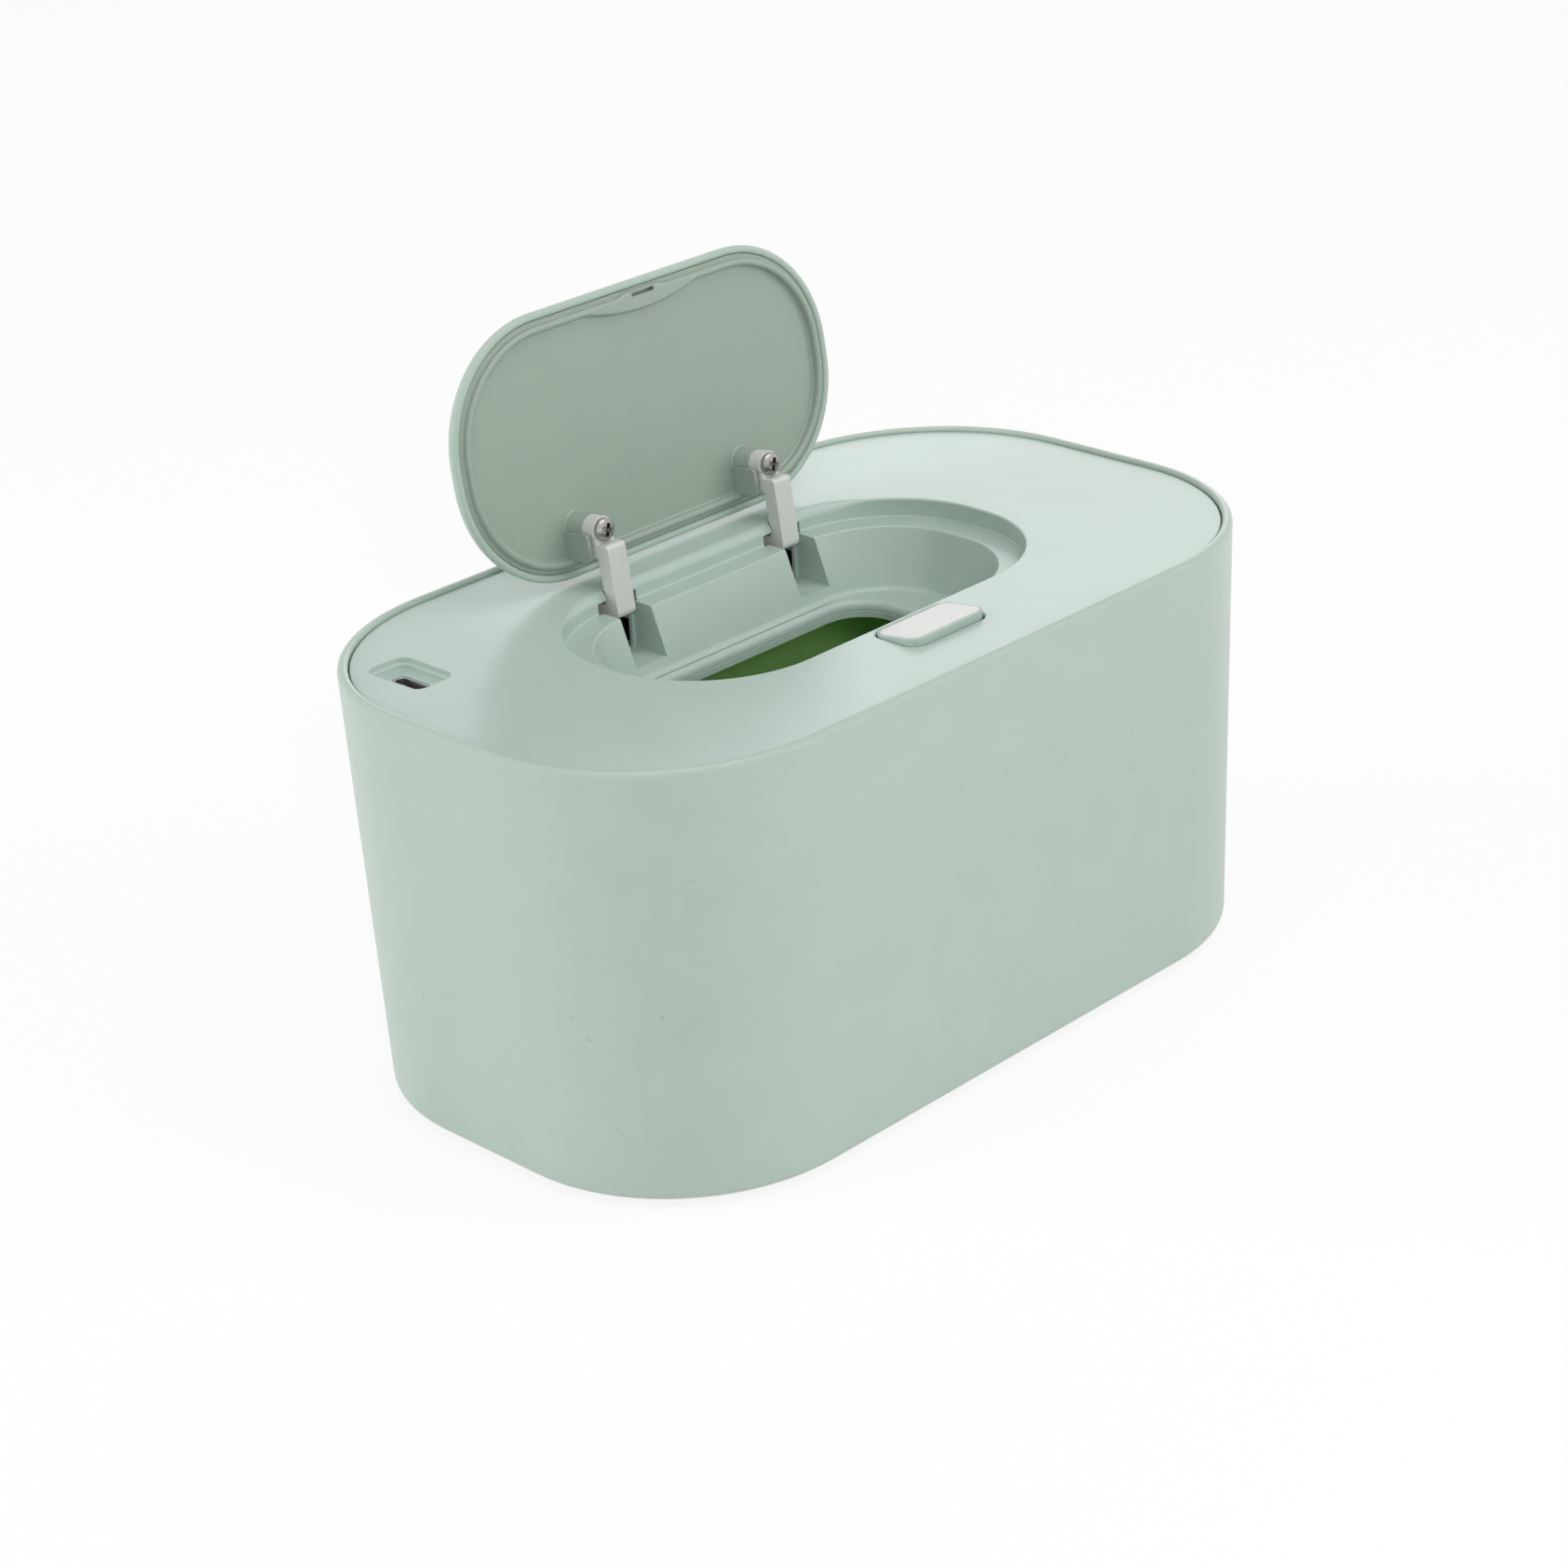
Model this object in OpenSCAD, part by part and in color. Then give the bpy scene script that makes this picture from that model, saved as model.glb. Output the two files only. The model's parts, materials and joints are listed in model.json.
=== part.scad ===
// Wipe warmer with a sprung flip lid: a drafted tub, a lift-off cover that holds the heater,
// and a lid on two gooseneck arms. Millimetres, +Z up, front at -Y, origin under the middle of the base.

/* [Tub] */
// Length of the tub at its rim
tub_l = 202; // [190:1:230]
// Depth of the tub at its rim, front to back
tub_w = 120; // [116:1:140]
// Height of the tub moulding
tub_h = 95.5; // [80:0.5:120]
// Radius of the tub's upright corners at the rim
tub_corner_r = 45.5; // [40:0.5:50]
// How far the foot of the wall stands in from the rim
tub_base_inset = 2.5; // [1:0.1:4]
// Thickness of the tub's wall and floor
tub_wall = 2.4; // [2:0.1:3]
// Thickness of the rim beside the cover
rim_t = 2.2; // [1.8:0.1:2.6]
// Height that the rubber feet lift the tub
foot_stand = 1.5; // [1:0.1:3]
// Radius of a rubber foot
foot_r = 6.5; // [5:0.5:8]

/* [Cover] */
// Thickness of the cover's panel
panel_t = 2; // [1.8:0.1:2.4]
// How far the panel lies below the rim
panel_drop = 0.9; // [0.5:0.1:2]
// Gap between panel and rim
panel_gap = 0.35; // [0.25:0.05:0.6]
// Height of the skirt that stands on the gasket
skirt_h = 6; // [5:0.5:8]
// Thickness of the cover's inner walls
cup_wall = 1.8; // [1.6:0.1:2]

/* [Recess and well] */
// Length of the lid's recess
recess_l = 112; // [108:1:118]
// Depth of the lid's recess, front to back
recess_w = 60; // [58:0.5:62]
// Corner radius of the lid's recess
recess_r = 28; // [27:0.5:28.5]
// Depth of the ledge below the panel
ledge_depth = 4.3; // [4.2:0.1:5]
// Width of the ledge at the ends
ledge_end = 6.4; // [5.8:0.1:7]
// Width of the ledge at the front and back
ledge_side = 5.6; // [5.4:0.1:5.8]
// Corner radius of the well at the ledge
well_r = 22; // [21:0.5:23]
// Depth of the well below the ledge
well_depth = 13.2; // [12.8:0.1:14]
// How far the well's wall slopes in
well_slope = 5; // [4:0.1:5.5]
// Length of the dispensing opening
opening_l = 68.6; // [50:0.2:72]
// Width of the dispensing opening
opening_w = 33.6; // [24:0.2:34]
// Corner radius of the dispensing opening
opening_r = 10; // [8:0.5:11]

/* [Lid] */
// Gap between the closed lid and the recess
lid_gap = 1; // [0.9:0.05:1.4]
// Thickness of the lid's outer plate
lid_top_t = 1.6; // [1.4:0.1:1.8]
// Thickness of the lid's inner plate
lid_inner_t = 1.6; // [1.4:0.1:1.8]
// Width of the lid's outer skirt
lid_skirt_t = 2; // [1.8:0.1:2.4]
// Height of the sealing rib on the lid's inner face
rib_h = 0.9; // [0.6:0.05:0.9]
// Width of the sealing rib
rib_t = 1.6; // [1.2:0.1:2]

/* [Hinge] */
// Angle between the closed and the open lid
open_angle = 97.2; // [85:0.2:98]
// Distance between the two arms
arm_spacing = 50; // [44:1:54]
// Width of an arm
arm_w = 5; // [4:0.1:5.4]
// Thickness of an arm's long limb
arm_t = 3.5; // [3:0.1:3.7]
// Length of an arm's eye along its screw
eye_t = 4.5; // [4:0.1:4.8]
// Radius of an arm's eye
eye_r = 2.8; // [2.6:0.1:3]
// Height of a screw boss on the lid
boss_h = 3.1; // [2.8:0.1:3.3]
// Distance from the pivot to the eye
eye_reach = 17.6; // [16.5:0.1:18]
// Distance of the pivot behind the recess
pivot_back = 5.9; // [5.7:0.1:6.4]
// Depth of the pivot below the panel
pivot_depth = 5.4; // [5.3:0.1:5.7]
// Diameter of a hinge pin
pin_d = 2.5; // [2:0.1:2.6]
// Width of a hinge slot
slot_w = 9; // [8.6:0.1:9.4]

/* [Button] */
// Length of the release button
button_l = 22.2; // [20:0.2:24]
// Width of the release button
button_w = 12.3; // [11.8:0.1:12.8]
// Corner radius of the release button
button_r = 3; // [2.4:0.1:3.4]
// Height of the button's front edge above the panel
button_proud = 1.7; // [1.6:0.1:2]
// Travel of the button, and of the latch that it drives
button_travel = 1.5; // [1:0.1:1.5]
// Distance of the latch from the lid's middle
catch_x = 2.5; // [0:0.1:3]

/* [Power inlet] */
// Length of the inlet's recess
port_l = 16.4; // [15:0.2:18]
// Width of the inlet's recess
port_w = 10; // [9:0.2:11]
// Distance of the inlet from the tub's end
port_from_end = 18.4; // [17.5:0.1:20]
// Distance of the inlet from the tub's back
port_from_back = 30.2; // [29:0.1:33]

/* [Hidden] */
$fn = 64;

// Colours of the finished pieces
mint = [0.66, 0.74, 0.69];
mint_pale = [0.72, 0.79, 0.75];
nylon = [0.82, 0.83, 0.80];
leaf_green = [0.16, 0.30, 0.10];

// Shared overrun of the cuts, and steps of a quarter round
over = 1;
arc_steps = 4;

// Heights of the tub, rim and panel
rim_z = foot_stand + tub_h;
panel_z = rim_z - panel_drop;
tub_floor_z = foot_stand + tub_wall;
base_edge_r = 2;
rim_edge_r = 0.9;
floor_fillet_r = 3;
foot_pocket = 1.5;
foot_end_inset = 23;
foot_side_inset = 24;
foot_gap = 0.2;
foot_bevel = 0.6;

// Half distances between the centres of the tub's corner arcs
tub_reach = [tub_l / 2 - tub_corner_r, tub_w / 2 - tub_corner_r];

// Seat that carries the cover
gasket_t = 1;
seat_z = panel_z - skirt_h - gasket_t;
seat_w = 2.2;
seat_t = 1.6;
seat_out = tub_corner_r - rim_t;
gasket_gap = 0.3;

// Cover panel and skirt
panel_out = seat_out - panel_gap;
panel_edge_r = 0.6;
skirt_t = 2;
panel_low_z = panel_z - panel_t;
skirt_z = panel_z - skirt_h;

// Recess, ledge, well and dispensing opening
recess_reach = [recess_l / 2 - recess_r, recess_w / 2 - recess_r];
recess_edge_r = 0.5;
swing_edge_r = 2.2;
swing_l = 82;
swing_w = 4.5;
ledge_z = panel_z - ledge_depth;
ledge_t = 2;
well_l = recess_l - 2 * ledge_end;
well_w = recess_w - 2 * ledge_side;
well_reach = [well_l / 2 - well_r, well_w / 2 - well_r];
well_floor_z = ledge_z - well_depth;
well_floor_t = 2;
well_low_z = well_floor_z - well_floor_t;
opening_reach = [opening_l / 2 - opening_r, opening_w / 2 - opening_r];
opening_lip_r = 1;
opening_taper = 1;

// Bottom cover and what it carries
tray_t = 1.5;
tray_gap = 0.4;
tray_out = panel_out - skirt_t - tray_gap;
tray_low_z = well_low_z - tray_t;
tray_opening_gap = 0.4;
plate_t = 0.8;
film_t = 0.3;
pad_t = 1.5;
heater_edge_gap = 1.5;
heater_hole_gap = 1;
film_margin = 3;
film_z = well_low_z + plate_t;
pad_z = film_z + film_t;

// Screws through the bottom cover into the top cover's posts
post_r = 3;
post_hole_gap = 0.6;
cover_screw_r = 1.2;
cover_screw_l = 9;
cover_head_r = 2.6;
cover_head_h = 1.6;
screw_gap = 0.05;
post_end_inset = 11;
post_low_side = 10;
post_corner_end = 37;
post_corner_side = 15;
post_places = [
    for (side = [-1, 1]) for (face = [-1, 1])
        [side * (tub_l / 2 - post_corner_end), face * (tub_w / 2 - post_corner_side)],
    for (side = [-1, 1]) [side * (tub_l / 2 - post_end_inset), -post_low_side]
];

// Lid, described closed: its top is flush with the panel
lid_out = recess_r - lid_gap;
lid_edge_r = 3;
lid_bead_r = 0.3;
lid_skirt_h = lid_edge_r + lid_bead_r;
lid_joint_gap = 0.4;
rib_out = lid_out - lid_skirt_t - lid_joint_gap;
lid_face_z = panel_z - lid_top_t - lid_inner_t;
rib_low_z = lid_face_z - rib_h;

// Hinge pivot and arms, described closed
pivot_y = recess_w / 2 + pivot_back;
pivot_z = panel_z - pivot_depth;
eye_y = pivot_y - eye_reach;
eye_top_z = lid_face_z - boss_h;
eye_low_z = eye_top_z - eye_t;
arm_low_z = eye_low_z - arm_t;
knuckle_r = 2.9;
web_l = 5.6;
limb_start = 2.9;
leg_t = 3;
leg_front = 1.4;
arm_edge_r = 0.8;
elbow_r = 1.6;
arm_screw_r = 1.1;
arm_head_r = 2.4;
arm_head_h = 1.7;
arm_screw_end = 0.6;
cross_l = 2.7;
cross_w = 0.6;
cross_depth = 0.9;
pin_gap = 0.04;
pin_seat_gap = 0.02;

// Anti-turn tab beside each boss
tab_t = 0.9;
tab_gap = 0.15;
tab_start = 0.5;
tab_l = 6.3;
tab_h = 6.7;

// Hinge slots and the bays behind them
slot_clear = 0.5;
slot_floor_z = arm_low_z - slot_clear;
slot_step = 0.7;
slot_end_y = recess_w / 2 - slot_step;
arm_notch = 1.6;
arm_notch_gap = 0.4;
bay_w = 10.4;
bay_wall = 1.6;
bay_back = 3.4;
bay_floor_t = 1.2;
bay_drop = 0.6;
bay_front_y = well_w / 2 - well_slope;
bay_end_y = pivot_y + bay_back;
bay_low_z = slot_floor_z - bay_drop - bay_floor_t;

// Torsion springs round the hinge pins
coil_wire_r = 0.225;
coil_r = 1.75;
coil_pitch = 0.9;
coil_turns = 2.25;
coil_leg = 4;
coil_gap = 0.12;
coil_steps = 14;
wire_sides = 6;

// Button, its sleeve and its spring
button_gap = 0.45;
button_strip = 1.5;
button_y = -(recess_w / 2 + button_strip + button_w / 2);
button_cut_r = button_r + button_gap;
button_top_t = 1.4;
button_skirt_t = 1.2;
button_back_drop = 0.1;
inlay_t = 0.4;
inlay_inset = 0.9;
sleeve_t = 1.4;
sleeve_h = 5.5;
sleeve_low_z = panel_z - sleeve_h;
lug_t = 0.8;
lug_gap = 0.2;
lug_out = 1;
lug_w = 6;
lug_y = button_y - button_w / 5;
button_skirt_h = sleeve_h + lug_gap + lug_t;
spring_r = 2.2;
spring_wire_r = 0.25;
spring_turns = 6;
spring_y = button_y - button_w / 12;
spring_top_z = panel_z - button_top_t;
spring_post_r = 3.2;
spring_seat_drop = 9.5;
spring_low_z = panel_z - spring_seat_drop;

// Latch under the front ledge, driven by the button's slanted foot
latch_top_gap = 0.2;
latch_side_gap = 0.4;
latch_t = 1.6;
latch_top_z = ledge_z - ledge_t - latch_top_gap;
latch_low_z = latch_top_z - latch_t;
latch_half_l = 18;
catch_inset = 4;
latch_back_y = -(recess_w / 2 - catch_inset);
latch_reach = 2.4;
latch_front_y = button_y + button_w / 2 - latch_reach;
hook_t = 0.6;
hook_w = 3.2;
hook_nose = 0.6;
hook_nose_h = 0.6;
hook_depth = 3.5;
hook_clear = 0.2;
window_l = 6.4;
window_w = 1.1;
window_y = latch_back_y;
window_drop = 2.4;
window_top_z = panel_z - window_drop;
bulge_l = 33;
bulge_w = 2.4;
foot_w = 2;
foot_t = 1.4;
foot_x = -5;
foot_drop = 4.2;
foot_below = 0.9;
foot_top_z = panel_z - foot_drop;
foot_low_z = latch_low_z - foot_below;
foot_clear = 0.15;
rail_in = 12.6;
rail_w = 4.6;
rail_t = 1.1;
rail_lip = 3;

// Power inlet
port_x = -(tub_l / 2 - port_from_end);
port_y = tub_w / 2 - port_from_back;
port_r = 2.6;
port_depth = 2.2;
port_slope = 0.6;
port_cup_t = 1.6;
port_cup_low_z = panel_z - port_depth - port_cup_t;
usb_l = 8.94;
usb_w = 3.26;
usb_r = 1.3;
usb_wall = 0.3;
usb_gap = 0.2;
usb_below = 0.2;
tongue_l = 6.6;
tongue_t = 0.7;
tongue_below = 1;

// Circuit board
board_t = 1.6;
board_drop = 12;
board_z = panel_z - board_drop;
board_l = 28;
board_w = 34;
board_back = 9;
board_side = 9;
board_edge_gap = 1.2;
standoff_r = 2.2;
standoff_side_inset = 3.4;
standoff_end_inset = 10.2;
standoff_corner_inset = 6.8;
board_x0 = port_x - board_back;
board_y0 = port_y + board_side - board_w;
board_hole_r = 1.1;
lead_r = 0.6;
lead_inset = 2;
lead_spacing = 3;
lead_hole_gap = 0.4;

// Thermal switch
thermostat_r = 4;
thermostat_h = 3;
thermostat_from_end = 31;
thermostat_gap = 0.3;

// Liner that holds the wipes
liner_t = 1.2;
liner_gap = 0.5;
liner_top_gap = 2.6;
liner_top_z = tray_low_z - liner_top_gap;
liner_bead = 0.5;

// Points of an arc about a centre, from one angle to another
function arc(centre, r, from, to, n = arc_steps) =
    [for (i = [0:n]) let (a = from + (to - from) * i / n) centre + r * [cos(a), sin(a)]];

// Radius of the tub's outer corner at a height
function tub_out(z) = tub_corner_r - tub_base_inset * (rim_z - z) / tub_h;

// Profile of a flat slab, from the middle out
function slab(out, low, high) = [[0, low], [out, low], [out, high], [0, high]];

// Profile of a slab whose edge slopes, from the middle out
function sloped(out_low, out_high, low, high) = [[0, low], [out_low, low], [out_high, high], [0, high]];

// A profile of [out, height] points carried round a rectangle with round corners.
// out counts from the centres of the corner arcs, which lie at plus and minus reach.
module carried(reach, profile) {
    for (turn = [0:3])
        translate([reach.x * (turn == 0 || turn == 3 ? 1 : -1), reach.y * (turn < 2 ? 1 : -1), 0])
            rotate([0, 0, 90 * turn])
                rotate_extrude(angle = 90) polygon(profile);
    for (half_turn = [0, 180]) rotate([0, 0, half_turn]) {
        translate([-reach.x, reach.y, 0])
            rotate([90, 0, 90]) linear_extrude(2 * reach.x) polygon(profile);
        translate([reach.x, reach.y, 0])
            rotate([90, 0, 0]) linear_extrude(2 * reach.y) polygon(profile);
    }
}

// The same, with its middle filled between the heights where the profile meets the centre
module filled(reach, profile) {
    middle = [for (p = profile) if (p.x == 0) p.y];
    carried(reach, profile);
    translate([-reach.x, -reach.y, min(middle)])
        cube([2 * reach.x, 2 * reach.y, max(middle) - min(middle)]);
}

// A box given by its lowest and highest corners
module box(low, high) {
    translate(low) cube(high - low);
}

// A round bar along X, from x0 to x1
module bar_x(r, x0, x1, y, z) {
    translate([x0, y, z]) rotate([0, 90, 0]) cylinder(r = r, h = x1 - x0);
}

// A flat outline of [y, z] points, given thickness along X from x0 to x1
module plate_x(x0, x1, points) {
    translate([x0, 0, 0]) rotate([90, 0, 90]) linear_extrude(x1 - x0) polygon(points);
}

// A flat outline of [x, z] points, given thickness along Y from y0 to y1
module plate_y(y0, y1, points) {
    translate([0, y1, 0]) rotate([90, 0, 0]) linear_extrude(y1 - y0) polygon(points);
}

// Turns the closed lid and its arms about the hinge into the open place
module opened() {
    translate([0, pivot_y, pivot_z]) rotate([-open_angle, 0, 0])
        translate([0, -pivot_y, -pivot_z]) children();
}

// A wire of radius r along a list of points, each with its own frame of two side directions
module wire(points, sides_a, sides_b, r) {
    n = len(points);
    rings = [
        for (i = [0:n - 1]) for (k = [0:wire_sides - 1])
            let (a = 360 * k / wire_sides) points[i] + r * (cos(a) * sides_a[i] + sin(a) * sides_b[i])
    ];
    walls = [
        for (i = [0:n - 2]) for (k = [0:wire_sides - 1])
            let (m = (k + 1) % wire_sides, p = i * wire_sides, q = p + wire_sides)
                each [[p + k, q + k, q + m], [p + k, q + m, p + m]]
    ];
    cap_start = [for (k = [1:wire_sides - 2]) [0, k, k + 1]];
    last = (n - 1) * wire_sides;
    cap_end = [for (k = [1:wire_sides - 2]) [last, last + k + 1, last + k]];
    polyhedron(points = rings, faces = concat(walls, cap_start, cap_end));
}

// A coil about the Z axis that rises from z = 0, with straight ends along its tangents
module coil(r, wire_r, pitch, turns, leg) {
    n = ceil(turns * coil_steps);
    angles = [for (i = [0:n]) 360 * turns * i / n];
    tangents = [for (a = angles) [-sin(a), cos(a), 0]];
    middle = [for (a = angles) [r * cos(a), r * sin(a), pitch * a / 360]];
    points = leg > 0
        ? concat([middle[0] - leg * tangents[0]], middle, [middle[n] + leg * tangents[n]])
        : middle;
    out = [for (a = angles) [cos(a), sin(a), 0]];
    sides_a = leg > 0 ? concat([out[0]], out, [out[n]]) : out;
    sides_b = [for (p = points) [0, 0, 1]];
    wire(points, sides_a, sides_b, wire_r);
}

module tub_shell() {
    low = tub_out(foot_stand);
    inner_low = tub_out(tub_floor_z) - tub_wall;
    lip_z = seat_z - seat_t;
    blend_z = lip_z - seat_w;
    profile = concat(
        [[0, foot_stand]],
        arc([low - base_edge_r, foot_stand + base_edge_r], base_edge_r, -90, 0),
        arc([tub_corner_r - rim_edge_r, rim_z - rim_edge_r], rim_edge_r, 0, 90),
        [
            [seat_out, rim_z], [seat_out, seat_z],
            [seat_out - seat_w, seat_z], [seat_out - seat_w, lip_z],
            [tub_out(blend_z) - tub_wall, blend_z]
        ],
        arc([inner_low - floor_fillet_r, tub_floor_z + floor_fillet_r], floor_fillet_r, 0, -90),
        [[0, tub_floor_z]]
    );
    color(mint) difference() {
        filled(tub_reach, profile);
        for (place = foot_places()) translate([place.x, place.y, foot_stand - over])
            cylinder(r = foot_r, h = foot_pocket + over);
    }
}

function foot_places() = [
    for (side = [-1, 1]) for (face = [-1, 1])
        [side * (tub_l / 2 - foot_end_inset), face * (tub_w / 2 - foot_side_inset)]
];

module rubber_feet() {
    r = foot_r - foot_gap;
    color([0.25, 0.27, 0.26]) for (place = foot_places()) translate([place.x, place.y, 0])
        rotate_extrude() polygon([
            [0, 0], [r - foot_bevel, 0], [r, foot_bevel],
            [r, foot_stand + foot_pocket], [0, foot_stand + foot_pocket]
        ]);
}

module wipe_liner() {
    out_low = tub_out(tub_floor_z) - tub_wall - liner_gap;
    out_high = tub_out(liner_top_z) - tub_wall - liner_gap;
    outer_r = floor_fillet_r;
    inner_r = outer_r - liner_t;
    profile = concat(
        [[0, tub_floor_z]],
        arc([out_low - outer_r, tub_floor_z + outer_r], outer_r, -90, 0),
        arc([out_high - liner_bead, liner_top_z - liner_bead], liner_bead, 0, 90),
        [[out_high - liner_t, liner_top_z]],
        arc([out_low - liner_t - inner_r, tub_floor_z + liner_t + inner_r], inner_r, 0, -90),
        [[0, tub_floor_z + liner_t]]
    );
    color(leaf_green) filled(tub_reach, profile);
}

// The blocks under the panel in which the slots and hinge bays are cut
module bay_blocks() {
    half = bay_w / 2 + bay_wall;
    for (side = [-1, 1])
        box([side * arm_spacing / 2 - half, bay_front_y, bay_low_z],
            [side * arm_spacing / 2 + half, bay_end_y + bay_wall, panel_low_z]);
}

// The slots in ledge and well, the bays behind them and the pin holes
module bay_cuts() {
    for (side = [-1, 1]) {
        x = side * arm_spacing / 2;
        box([x - slot_w / 2, 0, slot_floor_z], [x + slot_w / 2, recess_w / 2, panel_low_z]);
        box([x - slot_w / 2, slot_end_y, slot_floor_z], [x + slot_w / 2, pivot_y, panel_low_z]);
        box([x - bay_w / 2, recess_w / 2 + cup_wall, slot_floor_z - bay_drop],
            [x + bay_w / 2, bay_end_y, panel_low_z]);
        bar_x(pin_d / 2 + pin_seat_gap, x - bay_w / 2 - bay_wall - over, x + bay_w / 2 + bay_wall + over,
            pivot_y, pivot_z);
        box([x - arm_w / 2 - arm_notch_gap, slot_end_y, slot_floor_z],
            [x + arm_w / 2 + arm_notch_gap, recess_w / 2 + arm_notch, panel_z + over]);
    }
}

// Rails under the panel that carry the latch
module latch_rails() {
    for (side = [-1, 1]) {
        x0 = side > 0 ? rail_in : -rail_in - rail_w;
        front = latch_front_y - latch_top_gap;
        low = latch_low_z - latch_top_gap - rail_t;
        box([x0, front - rail_t, low], [x0 + rail_w, front, panel_low_z]);
        box([x0, front - rail_t, low], [x0 + rail_w, front + rail_lip, low + rail_t]);
    }
}

// Lower mouth, straight neck and rolled lip of the dispensing opening
function opening_profile() = concat(
    [[0, well_low_z - over], [opening_r - opening_taper, well_low_z - over]],
    arc([opening_r + opening_lip_r, well_floor_z - opening_lip_r], opening_lip_r, 180, 90),
    [[opening_r + opening_lip_r, well_floor_z + over], [0, well_floor_z + over]]
);

// The lid's recess, with its upper edge rounded by edge_r
function recess_profile(edge_r) = concat(
    [[0, ledge_z], [recess_r, ledge_z]],
    arc([recess_r + edge_r, panel_z - edge_r], edge_r, 180, 90),
    [[recess_r + edge_r, panel_z + over], [0, panel_z + over]]
);

module top_cover() {
    skirt_in = panel_out - skirt_t;
    panel = concat(
        [[0, panel_low_z], [skirt_in, panel_low_z], [skirt_in, skirt_z], [panel_out, skirt_z]],
        arc([panel_out - panel_edge_r, panel_z - panel_edge_r], panel_edge_r, 0, 90),
        [[0, panel_z]]
    );
    half_strip = panel_t / 2;
    color(mint_pale) difference() {
        union() {
            filled(tub_reach, panel);
            filled(recess_reach, slab(recess_r + cup_wall, ledge_z - ledge_t, panel_z - half_strip));
            filled(well_reach, sloped(well_r - well_slope + cup_wall, well_r + cup_wall,
                well_low_z, ledge_z - ledge_t / 2));
            bay_blocks();
            translate([0, button_y, 0]) filled(
                [button_l / 2 - button_r, button_w / 2 - button_r],
                slab(button_cut_r + sleeve_t, sleeve_low_z, panel_z - half_strip));
            translate([port_x, port_y, 0]) filled(
                [port_w / 2 - port_r, port_l / 2 - port_r],
                slab(port_r + port_cup_t, port_cup_low_z, panel_z - half_strip));
            for (place = post_places)
                translate([place.x, place.y, well_low_z]) cylinder(r = post_r, h = panel_low_z - well_low_z);
            latch_rails();
        }
        filled(recess_reach, recess_profile(recess_edge_r));
        intersection() {
            filled(recess_reach, recess_profile(swing_edge_r));
            box([-swing_l / 2, recess_w / 2 - swing_w, ledge_z],
                [swing_l / 2, recess_w / 2 + swing_w, panel_z + 2 * over]);
        }
        filled(well_reach, sloped(well_r - well_slope, well_r + well_slope * over / well_depth,
            well_floor_z, ledge_z + over));
        filled(opening_reach, opening_profile());
        bay_cuts();
        translate([0, button_y, 0]) filled(
            [button_l / 2 - button_r, button_w / 2 - button_r],
            slab(button_cut_r, sleeve_low_z - over, panel_z + over));
        translate([port_x, port_y, 0]) {
            filled([port_w / 2 - port_r, port_l / 2 - port_r],
                sloped(port_r - port_slope, port_r, panel_z - port_depth, panel_z));
            filled([usb_w / 2 - usb_r, usb_l / 2 - usb_r],
                slab(usb_r + usb_gap, port_cup_low_z - over, panel_z));
        }
        for (place = post_places)
            translate([place.x, place.y, well_low_z - over])
                cylinder(r = cover_screw_r + screw_gap, h = cover_screw_l + over);
        box([catch_x - window_l / 2, window_y - window_w / 2, latch_low_z],
            [catch_x + window_l / 2, window_y + window_w / 2, ledge_z + over]);
    }
}

module cover_gasket() {
    out_low = seat_out - seat_w + gasket_gap / 3;
    out_high = panel_out - gasket_gap / 3;
    color([0.80, 0.82, 0.80]) carried(tub_reach, [
        [out_low, seat_z], [out_high, seat_z], [out_high, seat_z + gasket_t], [out_low, seat_z + gasket_t]
    ]);
}

// Places of the posts that carry the circuit board
function standoff_places() = [
    for (side = [0, 1]) for (face = [0, 1])
        [
            board_x0 + standoff_end_inset + side * (board_l - standoff_end_inset - standoff_side_inset),
            board_y0 + standoff_side_inset + face * (board_w - standoff_side_inset - standoff_corner_inset)
        ]
];

module bottom_cover() {
    wall_in = tray_out - tray_t;
    profile = [
        [0, tray_low_z], [tray_out - tray_t / 2, tray_low_z], [tray_out, tray_low_z + tray_t / 2],
        [tray_out, panel_low_z], [wall_in, panel_low_z], [wall_in, well_low_z], [0, well_low_z]
    ];
    color(mint_pale) difference() {
        union() {
            filled(tub_reach, profile);
            for (place = standoff_places())
                translate([place.x, place.y, tray_low_z]) cylinder(r = standoff_r, h = board_z - tray_low_z);
            translate([0, spring_y, tray_low_z]) cylinder(r = spring_post_r, h = spring_low_z - tray_low_z);
        }
        filled(opening_reach, slab(opening_r - opening_taper + tray_opening_gap,
            tray_low_z - over, well_low_z + over));
        translate([port_x, port_y, 0]) filled(
            [port_w / 2 - port_r, port_l / 2 - port_r],
            slab(port_r + port_cup_t + tray_gap, port_cup_low_z - tray_gap, panel_z));
        for (place = post_places)
            translate([place.x, place.y, tray_low_z - over])
                cylinder(r = cover_screw_r + screw_gap, h = tray_t + 2 * over);
    }
}

module cover_screws() {
    color("silver") for (place = post_places) translate([place.x, place.y, 0]) {
        translate([0, 0, tray_low_z]) cylinder(r = cover_screw_r, h = cover_screw_l);
        difference() {
            translate([0, 0, tray_low_z - cover_head_h]) cylinder(r = cover_head_r, h = cover_head_h);
            cross_recess(tray_low_z - cover_head_h);
        }
    }
}

// A cross cut upwards into a screw head whose outer face lies at z
module cross_recess(z) {
    for (turn = [0, 90]) rotate([0, 0, turn])
        box([-cross_l / 2, -cross_w / 2, z - over], [cross_l / 2, cross_w / 2, z + cross_depth]);
}

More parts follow.
